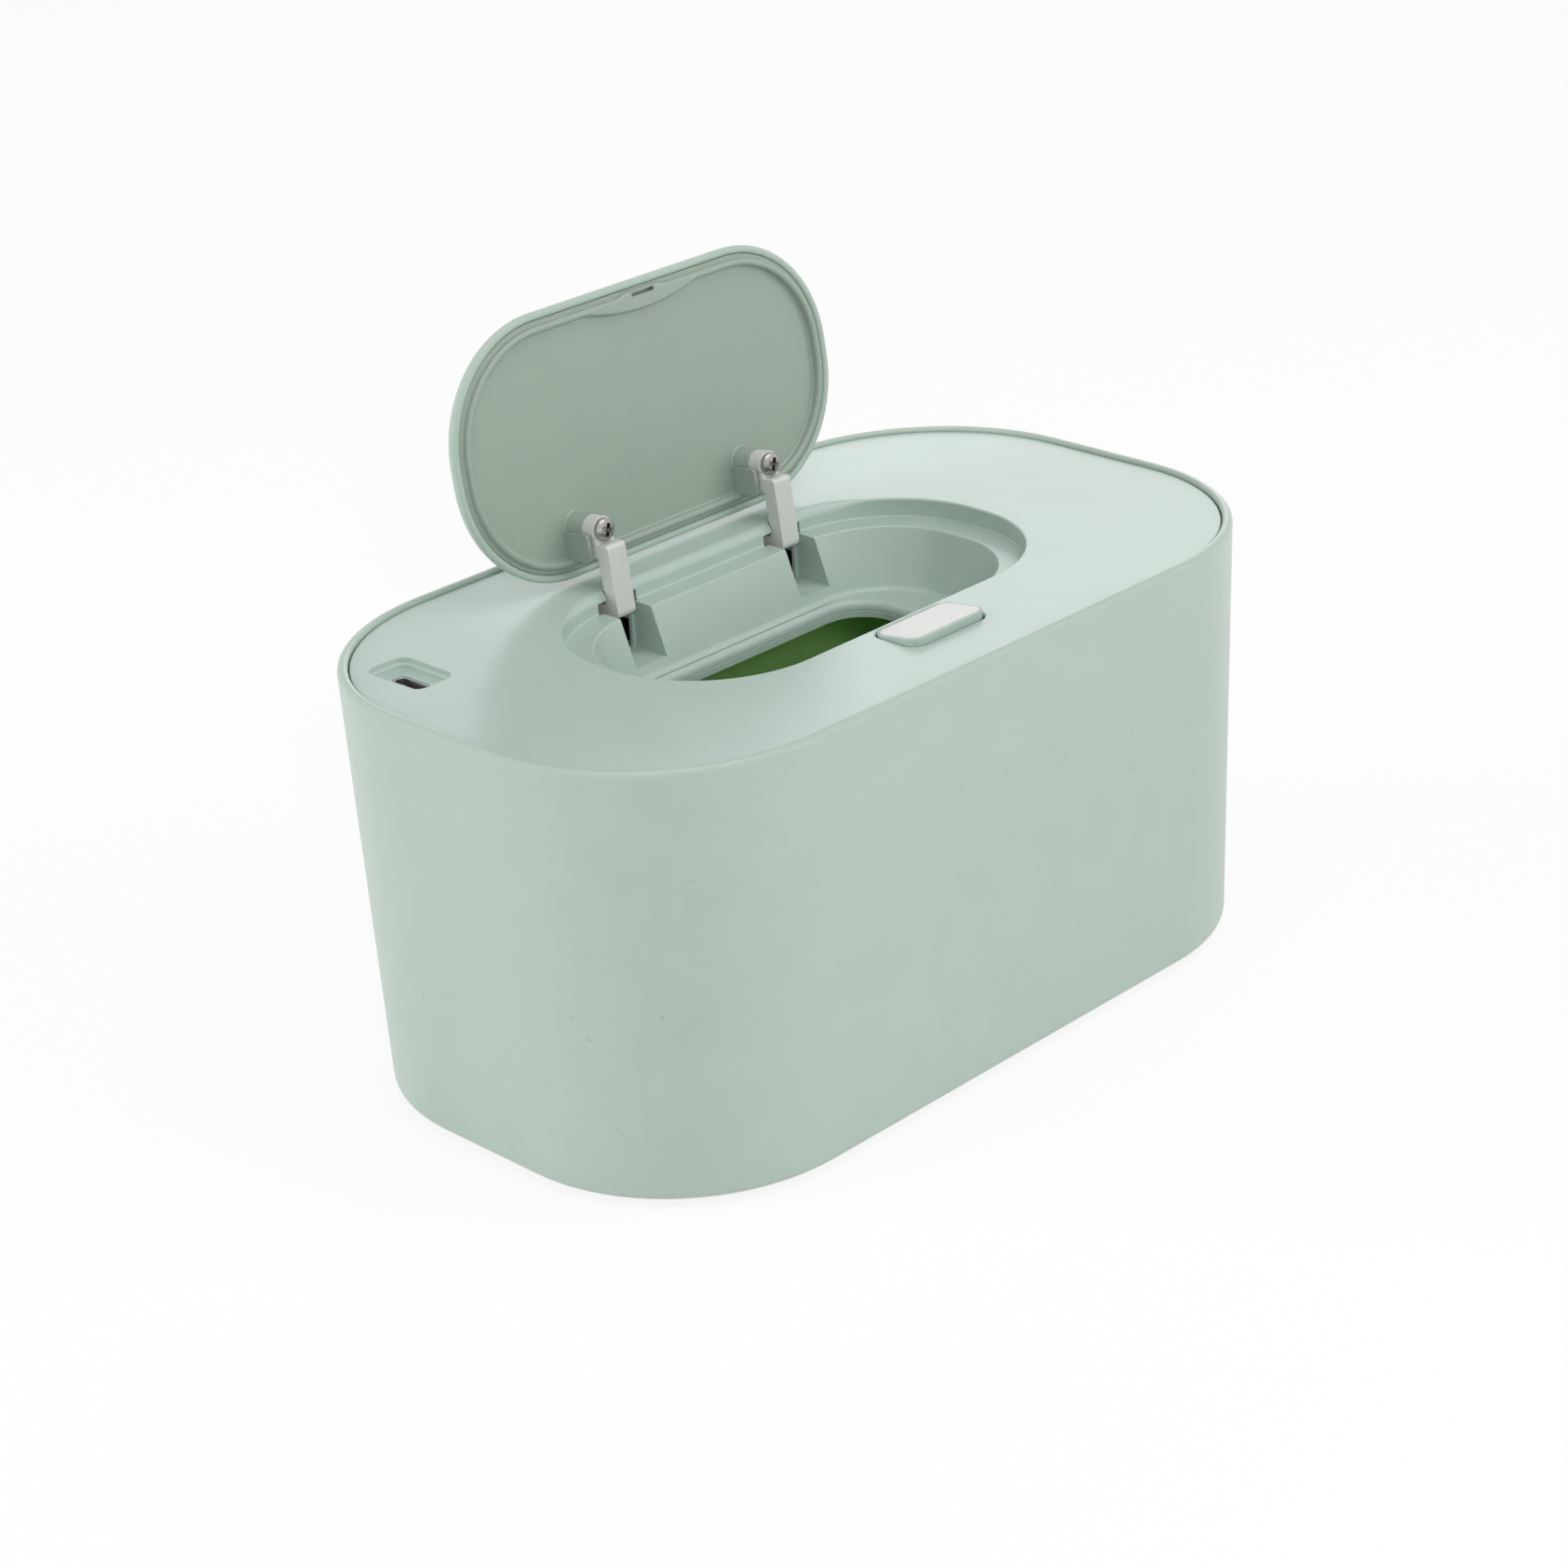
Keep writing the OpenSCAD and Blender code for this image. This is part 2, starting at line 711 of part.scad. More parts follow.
// What the heater's flat layers leave free: the well, posts, standoffs and spring post
module heater_holes(low, high) {
    filled(well_reach, slab(well_r - well_slope + cup_wall + heater_hole_gap, low - over, high + over));
    for (place = concat(post_places, [[0, spring_y]]))
        translate([place.x, place.y, low - over])
            cylinder(r = spring_post_r + post_hole_gap, h = high - low + 2 * over);
    for (place = standoff_places())
        translate([place.x, place.y, low - over])
            cylinder(r = standoff_r + post_hole_gap, h = high - low + 2 * over);
}

// One flat layer of the heater
module heater_layer(inset, low, high) {
    difference() {
        filled(tub_reach, slab(tray_out - tray_t - heater_edge_gap - inset, low, high));
        heater_holes(low, high);
    }
}

module heating_plate() {
    color([0.80, 0.81, 0.83]) heater_layer(0, well_low_z, film_z);
}

module heating_film() {
    color([0.85, 0.50, 0.15]) heater_layer(film_margin, film_z, pad_z);
}

function thermostat_place() = [tub_l / 2 - thermostat_from_end, 0];

function lead_places() = [
    for (k = [0, 1])
        [board_x0 + board_l - lead_inset, board_y0 + board_w / 2 + k * lead_spacing]
];

module insulation_pad() {
    color([0.30, 0.30, 0.32]) difference() {
        heater_layer(0, pad_z, pad_z + pad_t);
        translate([thermostat_place().x, thermostat_place().y, pad_z - over])
            cylinder(r = thermostat_r + thermostat_gap, h = pad_t + 2 * over);
        for (place = lead_places()) translate([place.x, place.y, pad_z - over])
            cylinder(r = lead_r + lead_hole_gap, h = pad_t + 2 * over);
    }
}

module thermostat() {
    cap_r = thermostat_r * 3 / 4;
    color([0.20, 0.20, 0.22]) translate([thermostat_place().x, thermostat_place().y, pad_z]) {
        cylinder(r = thermostat_r, h = thermostat_h);
        translate([0, 0, thermostat_h]) cylinder(r = cap_r, h = thermostat_h / 3);
    }
}

module circuit_board() {
    color([0.10, 0.35, 0.20]) difference() {
        intersection() {
            filled(tub_reach, slab(tray_out - tray_t - board_edge_gap, board_z, board_z + board_t));
            translate([board_x0, board_y0, board_z - over])
                cube([board_l, board_w, board_t + 2 * over]);
        }
        for (place = standoff_places())
            translate([place.x, place.y, board_z - over]) cylinder(r = board_hole_r, h = board_t + 2 * over);
    }
}

module heater_leads() {
    color([0.75, 0.15, 0.12]) for (place = lead_places())
        translate([place.x, place.y, pad_z]) cylinder(r = lead_r, h = board_z - pad_z);
}

module usb_shell() {
    top_z = panel_z - port_depth - usb_below;
    reach = [usb_w / 2 - usb_r, usb_l / 2 - usb_r];
    low_z = board_z + board_t;
    color("silver") translate([port_x, port_y, 0]) difference() {
        filled(reach, slab(usb_r, low_z, top_z));
        filled(reach, slab(usb_r - usb_wall, low_z + usb_wall, top_z + over));
    }
}

module usb_tongue() {
    low_z = board_z + board_t + usb_wall;
    high_z = panel_z - port_depth - usb_below - tongue_below;
    color([0.12, 0.12, 0.13])
        box([port_x - tongue_t / 2, port_y - tongue_l / 2, low_z],
            [port_x + tongue_t / 2, port_y + tongue_l / 2, high_z]);
}

module hinge_pin(side) {
    x = side * arm_spacing / 2;
    half = bay_w / 2 + bay_wall;
    color("silver") bar_x(pin_d / 2, x - half, x + half, pivot_y, pivot_z);
}
module hinge_pin_left() { hinge_pin(-1); }
module hinge_pin_right() { hinge_pin(1); }

// Torsion spring between the arm's knuckle and the bay's wall, on the side away from the middle
module hinge_spring(side) {
    width = coil_turns * coil_pitch;
    start = arm_w / 2 + (bay_w / 2 - arm_w / 2 - width) / 2;
    color([0.62, 0.63, 0.65]) translate([side * arm_spacing / 2 + start, pivot_y, pivot_z])
        rotate([0, 90, 0]) coil(coil_r, coil_wire_r, coil_pitch, coil_turns, coil_leg - coil_r);
}
module hinge_spring_left() { hinge_spring(-1); }
module hinge_spring_right() { hinge_spring(1); }

module lid_shell() {
    skirt_in = lid_out - lid_skirt_t;
    low_z = panel_z - lid_skirt_h;
    ceiling_z = panel_z - lid_top_t;
    profile = concat(
        [[0, ceiling_z], [skirt_in, ceiling_z], [skirt_in, low_z]],
        arc([lid_out - lid_bead_r, low_z + lid_bead_r], lid_bead_r, -90, 0),
        arc([lid_out - lid_edge_r, panel_z - lid_edge_r], lid_edge_r, 0, 90),
        [[0, panel_z]]
    );
    color(mint) opened() filled(recess_reach, profile);
}

module lid_inner() {
    ceiling_z = panel_z - lid_top_t;
    rib_in = rib_out - rib_t;
    rib_y = -(recess_reach.y + rib_in);
    bulge_r = (pow(bulge_l / 2, 2) + pow(bulge_w, 2)) / (2 * bulge_w);
    profile = [
        [0, lid_face_z], [rib_in, lid_face_z], [rib_in, rib_low_z],
        [rib_out, rib_low_z], [rib_out, ceiling_z], [0, ceiling_z]
    ];
    color(mint) opened() difference() {
        union() {
            filled(recess_reach, profile);
            intersection() {
                translate([catch_x, rib_y + bulge_w - bulge_r, rib_low_z])
                    cylinder(r = bulge_r, h = lid_face_z - rib_low_z + lid_inner_t / 2, $fn = 256);
                box([catch_x - bulge_l / 2 - rib_t, rib_y - rib_t / 2, rib_low_z - over],
                    [catch_x + bulge_l / 2 + rib_t, rib_y + 2 * bulge_w, lid_face_z + lid_inner_t]);
            }
            for (side = [-1, 1]) {
                x = side * arm_spacing / 2;
                tab_x = x - eye_r - tab_gap;
                translate([x, eye_y, eye_top_z]) cylinder(r = eye_r, h = boss_h + lid_inner_t / 2);
                box([tab_x - tab_t, eye_y + tab_start, lid_face_z - tab_h],
                    [tab_x, eye_y + tab_start + tab_l, lid_face_z + lid_inner_t / 2]);
            }
        }
        for (side = [-1, 1]) translate([side * arm_spacing / 2, eye_y, eye_top_z - over])
            cylinder(r = arm_screw_r + screw_gap, h = over + boss_h + lid_inner_t - arm_screw_end / 2);
        box([catch_x - window_l / 2, window_y - window_w / 2, rib_low_z - over],
            [catch_x + window_l / 2, window_y + window_w / 2, window_top_z]);
        box([catch_x - window_l / 2, window_y - window_w / 2, panel_z - hook_depth - hook_clear / 2],
            [catch_x + window_l / 2 + hook_nose + hook_clear, window_y + window_w / 2, window_top_z]);
    }
}

// Gooseneck arm: eye and web at the lid, long limb through the slot, leg up to the knuckle
module hinge_arm(side) {
    x = side * arm_spacing / 2;
    web_end = eye_y + web_l;
    limb_y = eye_y + limb_start;
    leg_y = pivot_y - leg_front;
    leg_end = leg_y + leg_t;
    outline = concat(
        [[eye_y, eye_low_z], [eye_y, eye_top_z], [web_end - arm_edge_r, eye_top_z]],
        [[web_end, eye_top_z - arm_edge_r], [web_end, eye_low_z]],
        [[leg_y - arm_edge_r, eye_low_z], [leg_y, eye_low_z + arm_edge_r], [leg_y, pivot_z]],
        [[leg_end, pivot_z]],
        arc([leg_end - elbow_r, arm_low_z + elbow_r], elbow_r, 0, -90),
        arc([limb_y + arm_edge_r, arm_low_z + arm_edge_r], arm_edge_r, -90, -180),
        [[limb_y, eye_low_z]]
    );
    color(nylon) opened() difference() {
        union() {
            plate_x(x - arm_w / 2, x + arm_w / 2, outline);
            translate([x, eye_y, eye_low_z]) cylinder(r = eye_r, h = eye_t);
            bar_x(knuckle_r, x - arm_w / 2, x + arm_w / 2, pivot_y, pivot_z);
        }
        bar_x(pin_d / 2 + pin_gap, x - arm_w, x + arm_w, pivot_y, pivot_z);
        translate([x, eye_y, eye_low_z - over]) cylinder(r = arm_screw_r + screw_gap, h = eye_t + 2 * over);
    }
}
module hinge_arm_left() { hinge_arm(-1); }
module hinge_arm_right() { hinge_arm(1); }

module arm_screws() {
    head_z = eye_low_z - arm_head_h;
    shank_l = eye_t + boss_h + lid_inner_t - arm_screw_end;
    color("silver") opened() for (side = [-1, 1])
    translate([side * arm_spacing / 2, eye_y, 0]) difference() {
        union() {
            translate([0, 0, eye_low_z - arm_head_h / 4])
                cylinder(r = arm_screw_r, h = shank_l + arm_head_h / 4);
            rotate_extrude() polygon(concat(
                [[0, head_z], [arm_head_r / 2, head_z]],
                arc([arm_head_r / 2, head_z + arm_head_r / 2], arm_head_r / 2, -60, 0),
                [[arm_head_r, eye_low_z], [0, eye_low_z]]
            ));
        }
        cross_recess(head_z);
    }
}

// The button's outline carried as a cap, cut by the sloping plane of its top
module button_body(inset, low, high) {
    reach = [button_l / 2 - button_r, button_w / 2 - button_r];
    translate([0, button_y, 0]) filled(reach, slab(button_r - inset, low, high));
}

// Everything below the button's sloping top, shifted down by drop
module below_slope(drop) {
    back = button_y + button_w / 2;
    front = button_y - button_w / 2;
    plate_x(-button_l, button_l, [
        [front, panel_z + button_proud - drop], [back, panel_z + button_back_drop - drop],
        [back, panel_z - skirt_h - button_w], [front, panel_z - skirt_h - button_w]
    ]);
}

module button_cap() {
    low_z = panel_z - button_skirt_h;
    slide = foot_top_z - foot_low_z;
    foot_back = latch_front_y + foot_t + foot_clear;
    color(mint_pale) union() {
        difference() {
            intersection() {
                button_body(0, low_z, panel_z + button_proud + over);
                below_slope(0);
            }
            button_body(button_skirt_t, low_z - over, panel_z - button_top_t);
            button_inlay_form(over);
            box([-button_l, latch_front_y - latch_side_gap, low_z - over],
                [button_l, button_y + button_w, latch_top_z + button_travel + latch_top_gap]);
        }
        for (side = [-1, 1]) {
            x0 = side > 0 ? button_l / 2 - button_skirt_t : -button_l / 2 - lug_out - button_gap;
            box([x0, lug_y - lug_w / 2, sleeve_low_z - lug_gap - lug_t],
                [x0 + button_skirt_t + lug_out + button_gap, lug_y + lug_w / 2, sleeve_low_z - lug_gap]);
        }
        plate_y(latch_front_y + foot_clear, foot_back, [
            [foot_x - foot_w / 2, panel_z - button_top_t + over / 2],
            [foot_x + foot_w / 2, panel_z - button_top_t + over / 2],
            [foot_x + foot_w / 2, foot_top_z], [foot_x + foot_w / 2 + slide, foot_low_z],
            [foot_x - foot_w / 2 + slide, foot_low_z], [foot_x - foot_w / 2, foot_top_z]
        ]);
    }
}

// The inlay's space in the button's top, with extra height above it
module button_inlay_form(extra) {
    difference() {
        intersection() {
            button_body(inlay_inset, panel_z - button_top_t / 2, panel_z + button_proud + 2 * over);
            below_slope(-extra);
        }
        below_slope(inlay_t);
    }
}

module button_inlay() {
    color([0.93, 0.93, 0.92]) button_inlay_form(0);
}

module button_spring() {
    height = spring_top_z - spring_low_z - 2 * spring_wire_r;
    color([0.62, 0.63, 0.65]) translate([0, spring_y, spring_low_z + spring_wire_r])
        coil(spring_r, spring_wire_r, height / spring_turns, spring_turns, 0);
}

module latch() {
    hook_x = catch_x + window_l / 2 - hook_clear;
    nose_z = panel_z - hook_depth;
    slope = latch_top_z - latch_low_z;
    slot_x = foot_x + foot_top_z - latch_top_z;
    half = foot_w / 2 + foot_clear;
    hook_y = window_y - hook_t / 2;
    color([0.86, 0.86, 0.84]) difference() {
        union() {
            box([-latch_half_l, latch_front_y, latch_low_z], [latch_half_l, latch_back_y, latch_top_z]);
            box([hook_x - hook_w, hook_y, latch_low_z], [hook_x, hook_y + hook_t, nose_z + hook_nose_h]);
            box([hook_x - hook_w, hook_y, nose_z], [hook_x + hook_nose, hook_y + hook_t, nose_z + hook_nose_h]);
        }
        plate_y(latch_front_y - over, latch_front_y + foot_t + 2 * foot_clear, [
            [slot_x - half - over, latch_top_z + over], [slot_x + half - over, latch_top_z + over],
            [slot_x + half + slope + over, latch_low_z - over], [slot_x - half + slope + over, latch_low_z - over]
        ]);
    }
}

tub_shell();
rubber_feet();
wipe_liner();
top_cover();
cover_gasket();
bottom_cover();
cover_screws();
heating_plate();
heating_film();
insulation_pad();
thermostat();
circuit_board();
heater_leads();
usb_shell();
usb_tongue();
hinge_pin_left();
hinge_pin_right();
hinge_spring_left();
hinge_spring_right();
lid_shell();
lid_inner();
hinge_arm_left();
hinge_arm_right();
arm_screws();
button_cap();
button_inlay();
button_spring();
latch();
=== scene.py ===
# %% [markdown]
# A wipe warmer in mint-green plastic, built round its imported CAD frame.
# The frame holds every solid piece in its real place. The pieces that show are made again here as smooth
# surfaces with rounded edges, and the hidden ones keep their CAD meshes and get real finishes.
# Everything is in metres in the frame's own axes: the hinge is at +Y and the power inlet at -X.

# %% Load the frame
import json
import bpy
import bmesh
import numpy as np
from mathutils import Matrix, Vector


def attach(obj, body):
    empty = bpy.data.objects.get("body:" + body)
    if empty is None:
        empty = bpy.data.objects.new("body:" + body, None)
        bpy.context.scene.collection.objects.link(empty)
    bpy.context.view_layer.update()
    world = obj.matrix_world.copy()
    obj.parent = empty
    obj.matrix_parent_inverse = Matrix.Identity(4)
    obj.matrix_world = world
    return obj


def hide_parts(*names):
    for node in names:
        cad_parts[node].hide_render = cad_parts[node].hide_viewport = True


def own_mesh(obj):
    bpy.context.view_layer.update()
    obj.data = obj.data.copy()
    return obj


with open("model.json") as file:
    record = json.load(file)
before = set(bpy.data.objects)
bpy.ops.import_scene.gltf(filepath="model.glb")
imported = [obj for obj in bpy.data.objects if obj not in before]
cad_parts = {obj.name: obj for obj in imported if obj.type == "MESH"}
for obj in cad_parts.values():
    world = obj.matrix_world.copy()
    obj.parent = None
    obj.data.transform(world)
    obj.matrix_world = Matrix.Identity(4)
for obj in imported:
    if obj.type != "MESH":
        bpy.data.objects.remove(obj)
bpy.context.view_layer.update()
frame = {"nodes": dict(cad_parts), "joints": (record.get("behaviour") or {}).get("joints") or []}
MM = 0.001

# %% [markdown]
# Tub, cover, recess, well and lid share one plan shape: a rectangle whose corners are quarter circles.
# A wall with that plan can be made by bevelling a box, but then its section can't be chosen freely.
# So the plan is kept as a track of unit steps, and any section of [reach_x, reach_y, out, z] is carried round it.
# Where the section changes its reach, one plan turns smoothly into the next, as between panel and recess.

# %% Track round a rectangle with round corners
def round_track(arc_steps=20, long_steps=12, short_steps=4):
    """Place and direction of each step. A ring point is place * reach + direction * out. On the corner arcs
    the place is a corner of the unit square and the direction turns by 90 degrees; on the sides the direction
    stays and the place runs from corner to corner."""
    places, directions = [], []
    for k, (x, y) in enumerate([(1, 1), (-1, 1), (-1, -1), (1, -1)]):
        turn = np.radians(90 * k) + np.linspace(0, np.pi / 2, arc_steps + 1)
        places.append(np.tile([x, y], (arc_steps + 1, 1)))
        directions.append(np.column_stack([np.cos(turn), np.sin(turn)]))
        steps = short_steps if k % 2 else long_steps
        share = np.linspace(0, 1, steps + 1)[1:-1, None]
        corner, following = np.array([x, y]), np.array([[-1, 1], [-1, -1], [1, -1], [1, 1]][k])
        places.append(corner * (1 - share) + following * share)
        directions.append(np.tile(directions[-1][-1], (steps - 1, 1)))
    return np.concatenate(places), np.concatenate(directions)


def carried(rows, track):
    """Grid of points: each row [reach_x, reach_y, out, z] becomes one ring of the track."""
    places, directions = track
    rows = np.asarray(rows, float)
    flat = places[None] * rows[:, None, :2] + directions[None] * rows[:, None, 2:3]
    return np.concatenate([flat, np.broadcast_to(rows[:, None, 3:4], flat.shape[:2] + (1,))], axis=2)


def rounded(corners, steps=5, closed=False):
    """Section with its corners rounded. Each corner is [..., radius]. With unit vectors u and v towards the
    neighbours and phi the angle between them, the arc's centre lies radius / sin(phi / 2) along their middle."""
    corners = np.asarray(corners, float)
    points, radii = corners[:, :-1], corners[:, -1]
    pieces = []
    for i, (point, radius) in enumerate(zip(points, radii)):
        if radius == 0 or (not closed and i in (0, len(points) - 1)):
            pieces.append(point[None])
            continue
        u, v = points[i - 1] - point, points[(i + 1) % len(points)] - point
        u, v = u / np.linalg.norm(u), v / np.linalg.norm(v)
        half = np.arccos(np.clip(u @ v, -1, 1)) / 2
        middle, side = (u + v) / np.linalg.norm(u + v), (v - u) / np.linalg.norm(v - u)
        turn = np.linspace(half - np.pi / 2, np.pi / 2 - half, steps + 1)[:, None]
        pieces.append(point + middle * radius / np.sin(half) + radius * (side * np.sin(turn) - middle * np.cos(turn)))
    return np.concatenate(pieces)


def section(reach, corners, steps=5, closed=False):
    """Rounded section whose corners [out, z, radius] all have the same reach."""
    line = rounded(corners, steps, closed)
    return np.column_stack([np.tile(reach, (len(line), 1)), line])

# %% [markdown]
# A grid of points becomes a mesh with one quad between each four neighbours. A ring closes on itself, a
# section may close too, and an open section ends in two flat caps, so that every piece is a closed body.
# The faces come from index arithmetic on whole arrays, and the normals are made to point outwards at the end.

# %% Meshes from grids
def grid_faces(rows, columns, close_rows=False, close_columns=True):
    """Quads of a rows x columns grid, numbered row by row; closing adds the quads from the last to the first."""
    i = np.arange(rows if close_rows else rows - 1)[:, None]
    j = np.arange(columns if close_columns else columns - 1)[None]
    k, m = (i + 1) % rows, (j + 1) % columns
    quads = np.stack([i * columns + j, i * columns + m, k * columns + m, k * columns + j], axis=-1)
    return quads.reshape(-1, 4)


def body_of_grid(grid, closed=False):
    """Points and faces of a grid whose rings are closed: a torus-like body if closed, else one with two caps."""
    rows, columns = grid.shape[:2]
    faces = grid_faces(rows, columns, close_rows=closed).tolist()
    if not closed:
        faces.append(list(range(columns))[::-1])
        faces.append(list(range((rows - 1) * columns, rows * columns)))
    return grid.reshape(-1, 3), faces


def prism(outline, low, high, axis="x"):
    """Body of a flat outline given thickness along one axis; outline points are the other two coordinates."""
    outline = np.asarray(outline, float)
    ends = []
    for value in (low, high):
        level = np.full((len(outline), 1), float(value))
        order = {"x": [level, outline], "y": [outline[:, :1], level, outline[:, 1:]], "z": [outline, level]}[axis]
        ends.append(np.concatenate(order, axis=1))
    return body_of_grid(np.stack(ends))


def block(low, high):
    """Body of a plain box between two corners."""
    outline = [(low[0], low[1]), (high[0], low[1]), (high[0], high[1]), (low[0], high[1])]
    return prism(outline, low[2], high[2], "z")


def turned(line, centre, axis="z", steps=48):
    """Body of revolution: a line of [radius, height] turned about an axis through centre. A radius of zero
    would collapse the ring, so the ends keep a tiny radius under their caps."""
    line = np.asarray(line, float)
    angle = np.linspace(0, 2 * np.pi, steps, endpoint=False)
    ring = np.stack([np.cos(angle), np.sin(angle), np.zeros(steps)], axis=1)
    grid = line[:, None, :1] * ring[None] + line[:, None, 1:] * np.array([0, 0, 1])
    if axis == "x":
        grid = grid[..., [2, 0, 1]]
    return body_of_grid(grid + np.asarray(centre, float))


def joined(*bodies):
    """Several separate bodies as one list of points and faces."""
    points, faces, first = [], [], 0
    for body_points, body_faces in bodies:
        points.append(body_points)
        faces += [[first + index for index in face] for face in body_faces]
        first += len(body_points)
    return np.concatenate(points), faces


def piece_of(name, body):
    """Mesh object of a body given in millimetres, with its faces turned outwards."""
    points, faces = body
    mesh = bpy.data.meshes.new(name)
    mesh.from_pydata((points * MM).tolist(), [], faces)
    shaped = bmesh.new()
    shaped.from_mesh(mesh)
    bmesh.ops.recalc_face_normals(shaped, faces=shaped.faces)
    shaped.to_mesh(mesh)
    shaped.free()
    piece = bpy.data.objects.new(name, mesh)
    bpy.context.scene.collection.objects.link(piece)
    return piece

# %% [markdown]
# Slots, windows and screw crosses are cut out of a piece, and bosses and eyes are joined to it, as a mould's
# inserts do on the real parts. An exact boolean does that on closed bodies. Moulded edges are never sharp, so
# a small bevel follows, and weighted normals keep the flat faces flat beside the rounds.

# %% Cutting, joining and finishing
def settle(piece):
    """Makes the modifiers part of the mesh."""
    evaluated = piece.evaluated_get(bpy.context.evaluated_depsgraph_get())
    mesh = bpy.data.meshes.new_from_object(evaluated)
    piece.modifiers.clear()
    piece.data = mesh


def combine(piece, operation, *bodies):
    """Joins bodies to the piece (UNION) or cuts them out of it (DIFFERENCE), one after the other."""
    tools = [piece_of("tool", body) for body in bodies]
    for tool in tools:
        cut = piece.modifiers.new("combine", "BOOLEAN")
        cut.operation, cut.object, cut.solver = operation, tool, "EXACT"
    settle(piece)
    for tool in tools:
        bpy.data.objects.remove(tool)


def soften(piece, width, angle=38, steps=2):
    """Rounds the edges sharper than the angle, then shades everything smooth but what is still sharp."""
    if width:
        bevel = piece.modifiers.new("edge", "BEVEL")
        bevel.width, bevel.segments, bevel.limit_method = width * MM, steps, "ANGLE"
        bevel.angle_limit = np.radians(angle)
        settle(piece)
    piece.data.shade_smooth()
    piece.data.set_sharp_from_angle(angle=np.radians(42))
    weighted = piece.modifiers.new("flat faces", "WEIGHTED_NORMAL")
    weighted.keep_sharp = True


def report(piece):
    """Prints the size of the finished mesh."""
    points = np.empty(len(piece.data.vertices) * 3)
    piece.data.vertices.foreach_get("co", points)
    points = points.reshape(-1, 3) / MM
    print(piece.name, len(points), "points,", np.round(points.min(0), 1), "to", np.round(points.max(0), 1))


def place_on(piece, body, nodes, material):
    """Gives the piece its finish and its body, and hides the CAD nodes that it stands for."""
    piece.data.materials.clear()
    piece.data.materials.append(material)
    for node in nodes:
        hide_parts(node)
    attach(piece, body)
    report(piece)

# %% [markdown]
# The lid and its arms are moulded lying flat, so they are drawn closed, where their sizes are easy to read.
# The hinge joint in the frame says about which line and how far they turn, and the finished mesh is turned
# back by that angle. The object itself stays unturned.

# %% Opening the lid
hinge = next(joint for joint in frame["joints"] if joint["name"] == "lid_hinge")
pivot = Vector(hinge["pos_m"])
opening = (Matrix.Translation(pivot) @ Matrix.Rotation(-np.radians(hinge["range_deg"][1]), 4, Vector(hinge["axis"]))
           @ Matrix.Translation(-pivot))


def open_up(piece):
    """Turns the finished mesh about the hinge from the closed to the open place."""
    piece.data.transform(opening)

# %% [markdown]
# Sizes that several pieces share, in millimetres, as the frame has them: the rim at 97, the panel 0.9 lower,
# and the reaches of the plans, which are the half distances between the centres of their corner arcs. They
# stand in one place, because a slot, the arm in it and the screw on the arm have to meet.

# %% Shared sizes
rim_z, panel_z, ledge_z, well_z, well_low_z = 97.0, 96.1, 91.8, 78.6, 76.6
panel_low_z, skirt_z, seat_z, ledge_low_z = 94.1, 90.1, 89.1, 89.8
base_z, floor_z, liner_floor_z, liner_rim_z = 1.5, 3.9, 5.1, 72.5
tub_reach, recess_reach, well_reach, mouth_reach = (55.5, 14.5), (28.0, 2.0), (27.6, 2.4), (24.3, 6.8)
button_reach, port_reach, plug_reach = (8.1, 3.15), (2.4, 5.6), (0.33, 3.17)
arm_places, screw_y, arm_half = (-25.0, 25.0), 18.3, 2.5
catch_x, catch_y, catch_half = 2.5, -26.0, 3.2
button_y, port_x, port_y = -37.65, -82.6, 29.8
pivot_y, pivot_z = pivot.y / MM, pivot.z / MM
arm_low_z, arm_top_z = 85.3, 88.7
track = round_track()

# %% [markdown]
# Real mouldings are never one flat colour. The pigment drifts a little from place to place, a few dark
# specks of regrind show in the satin parts, and polish differs with the mould's surface, so gloss wanders.
# One shader group gives all of this, and each material sets its own colours and amounts.

# %% Shader groups
def group_tree(name, inputs, outputs):
    """New node group with named sockets; inputs are (name, socket type, default)."""
    tree = bpy.data.node_groups.new(name, "ShaderNodeTree")
    for label, kind, value in inputs:
        socket = tree.interface.new_socket(label, in_out="INPUT", socket_type=kind)
        if value is not None:
            socket.default_value = value
    for label, kind in outputs:
        tree.interface.new_socket(label, in_out="OUTPUT", socket_type=kind)
    return tree, tree.nodes.new("NodeGroupInput").outputs, tree.nodes.new("NodeGroupOutput").inputs


def node_in(tree, kind, inputs=(), **settings):
    """New node with settings on itself and values or links on its inputs."""
    node = tree.nodes.new(kind)
    for key, value in settings.items():
        setattr(node, key, value)
    for key, value in dict(inputs).items():
        if isinstance(value, bpy.types.NodeSocket):
            tree.links.new(value, node.inputs[key])
        else:
            node.inputs[key].default_value = value
    return node


def noise_in(tree, vector, scale, detail=2.0, roughness=0.5):
    """Noise value between about 0.3 and 0.7 at a scale of features per metre."""
    return node_in(tree, "ShaderNodeTexNoise",
                   {"Vector": vector, "Scale": scale, "Detail": detail, "Roughness": roughness}).outputs["Fac"]


def ranged(tree, value, low, high, to_low, to_high):
    """Value moved from one range to another, held inside it."""
    return node_in(tree, "ShaderNodeMapRange", {"Value": value, "From Min": low, "From Max": high,
                                                "To Min": to_low, "To Max": to_high}).outputs["Result"]


def mixed(tree, share, first, second, blend_type="MIX"):
    """Colour mixed from two others."""
    node = node_in(tree, "ShaderNodeMix", data_type="RGBA", blend_type=blend_type)
    for index, value in ((0, share), (6, first), (7, second)):
        if isinstance(value, bpy.types.NodeSocket):
            tree.links.new(value, node.inputs[index])
        else:
            node.inputs[index].default_value = value
    return node.outputs[2]


def math_in(tree, operation, first, second=0.0):
    """One arithmetic step."""
    return node_in(tree, "ShaderNodeMath", {0: first, 1: second}, operation=operation).outputs[0]


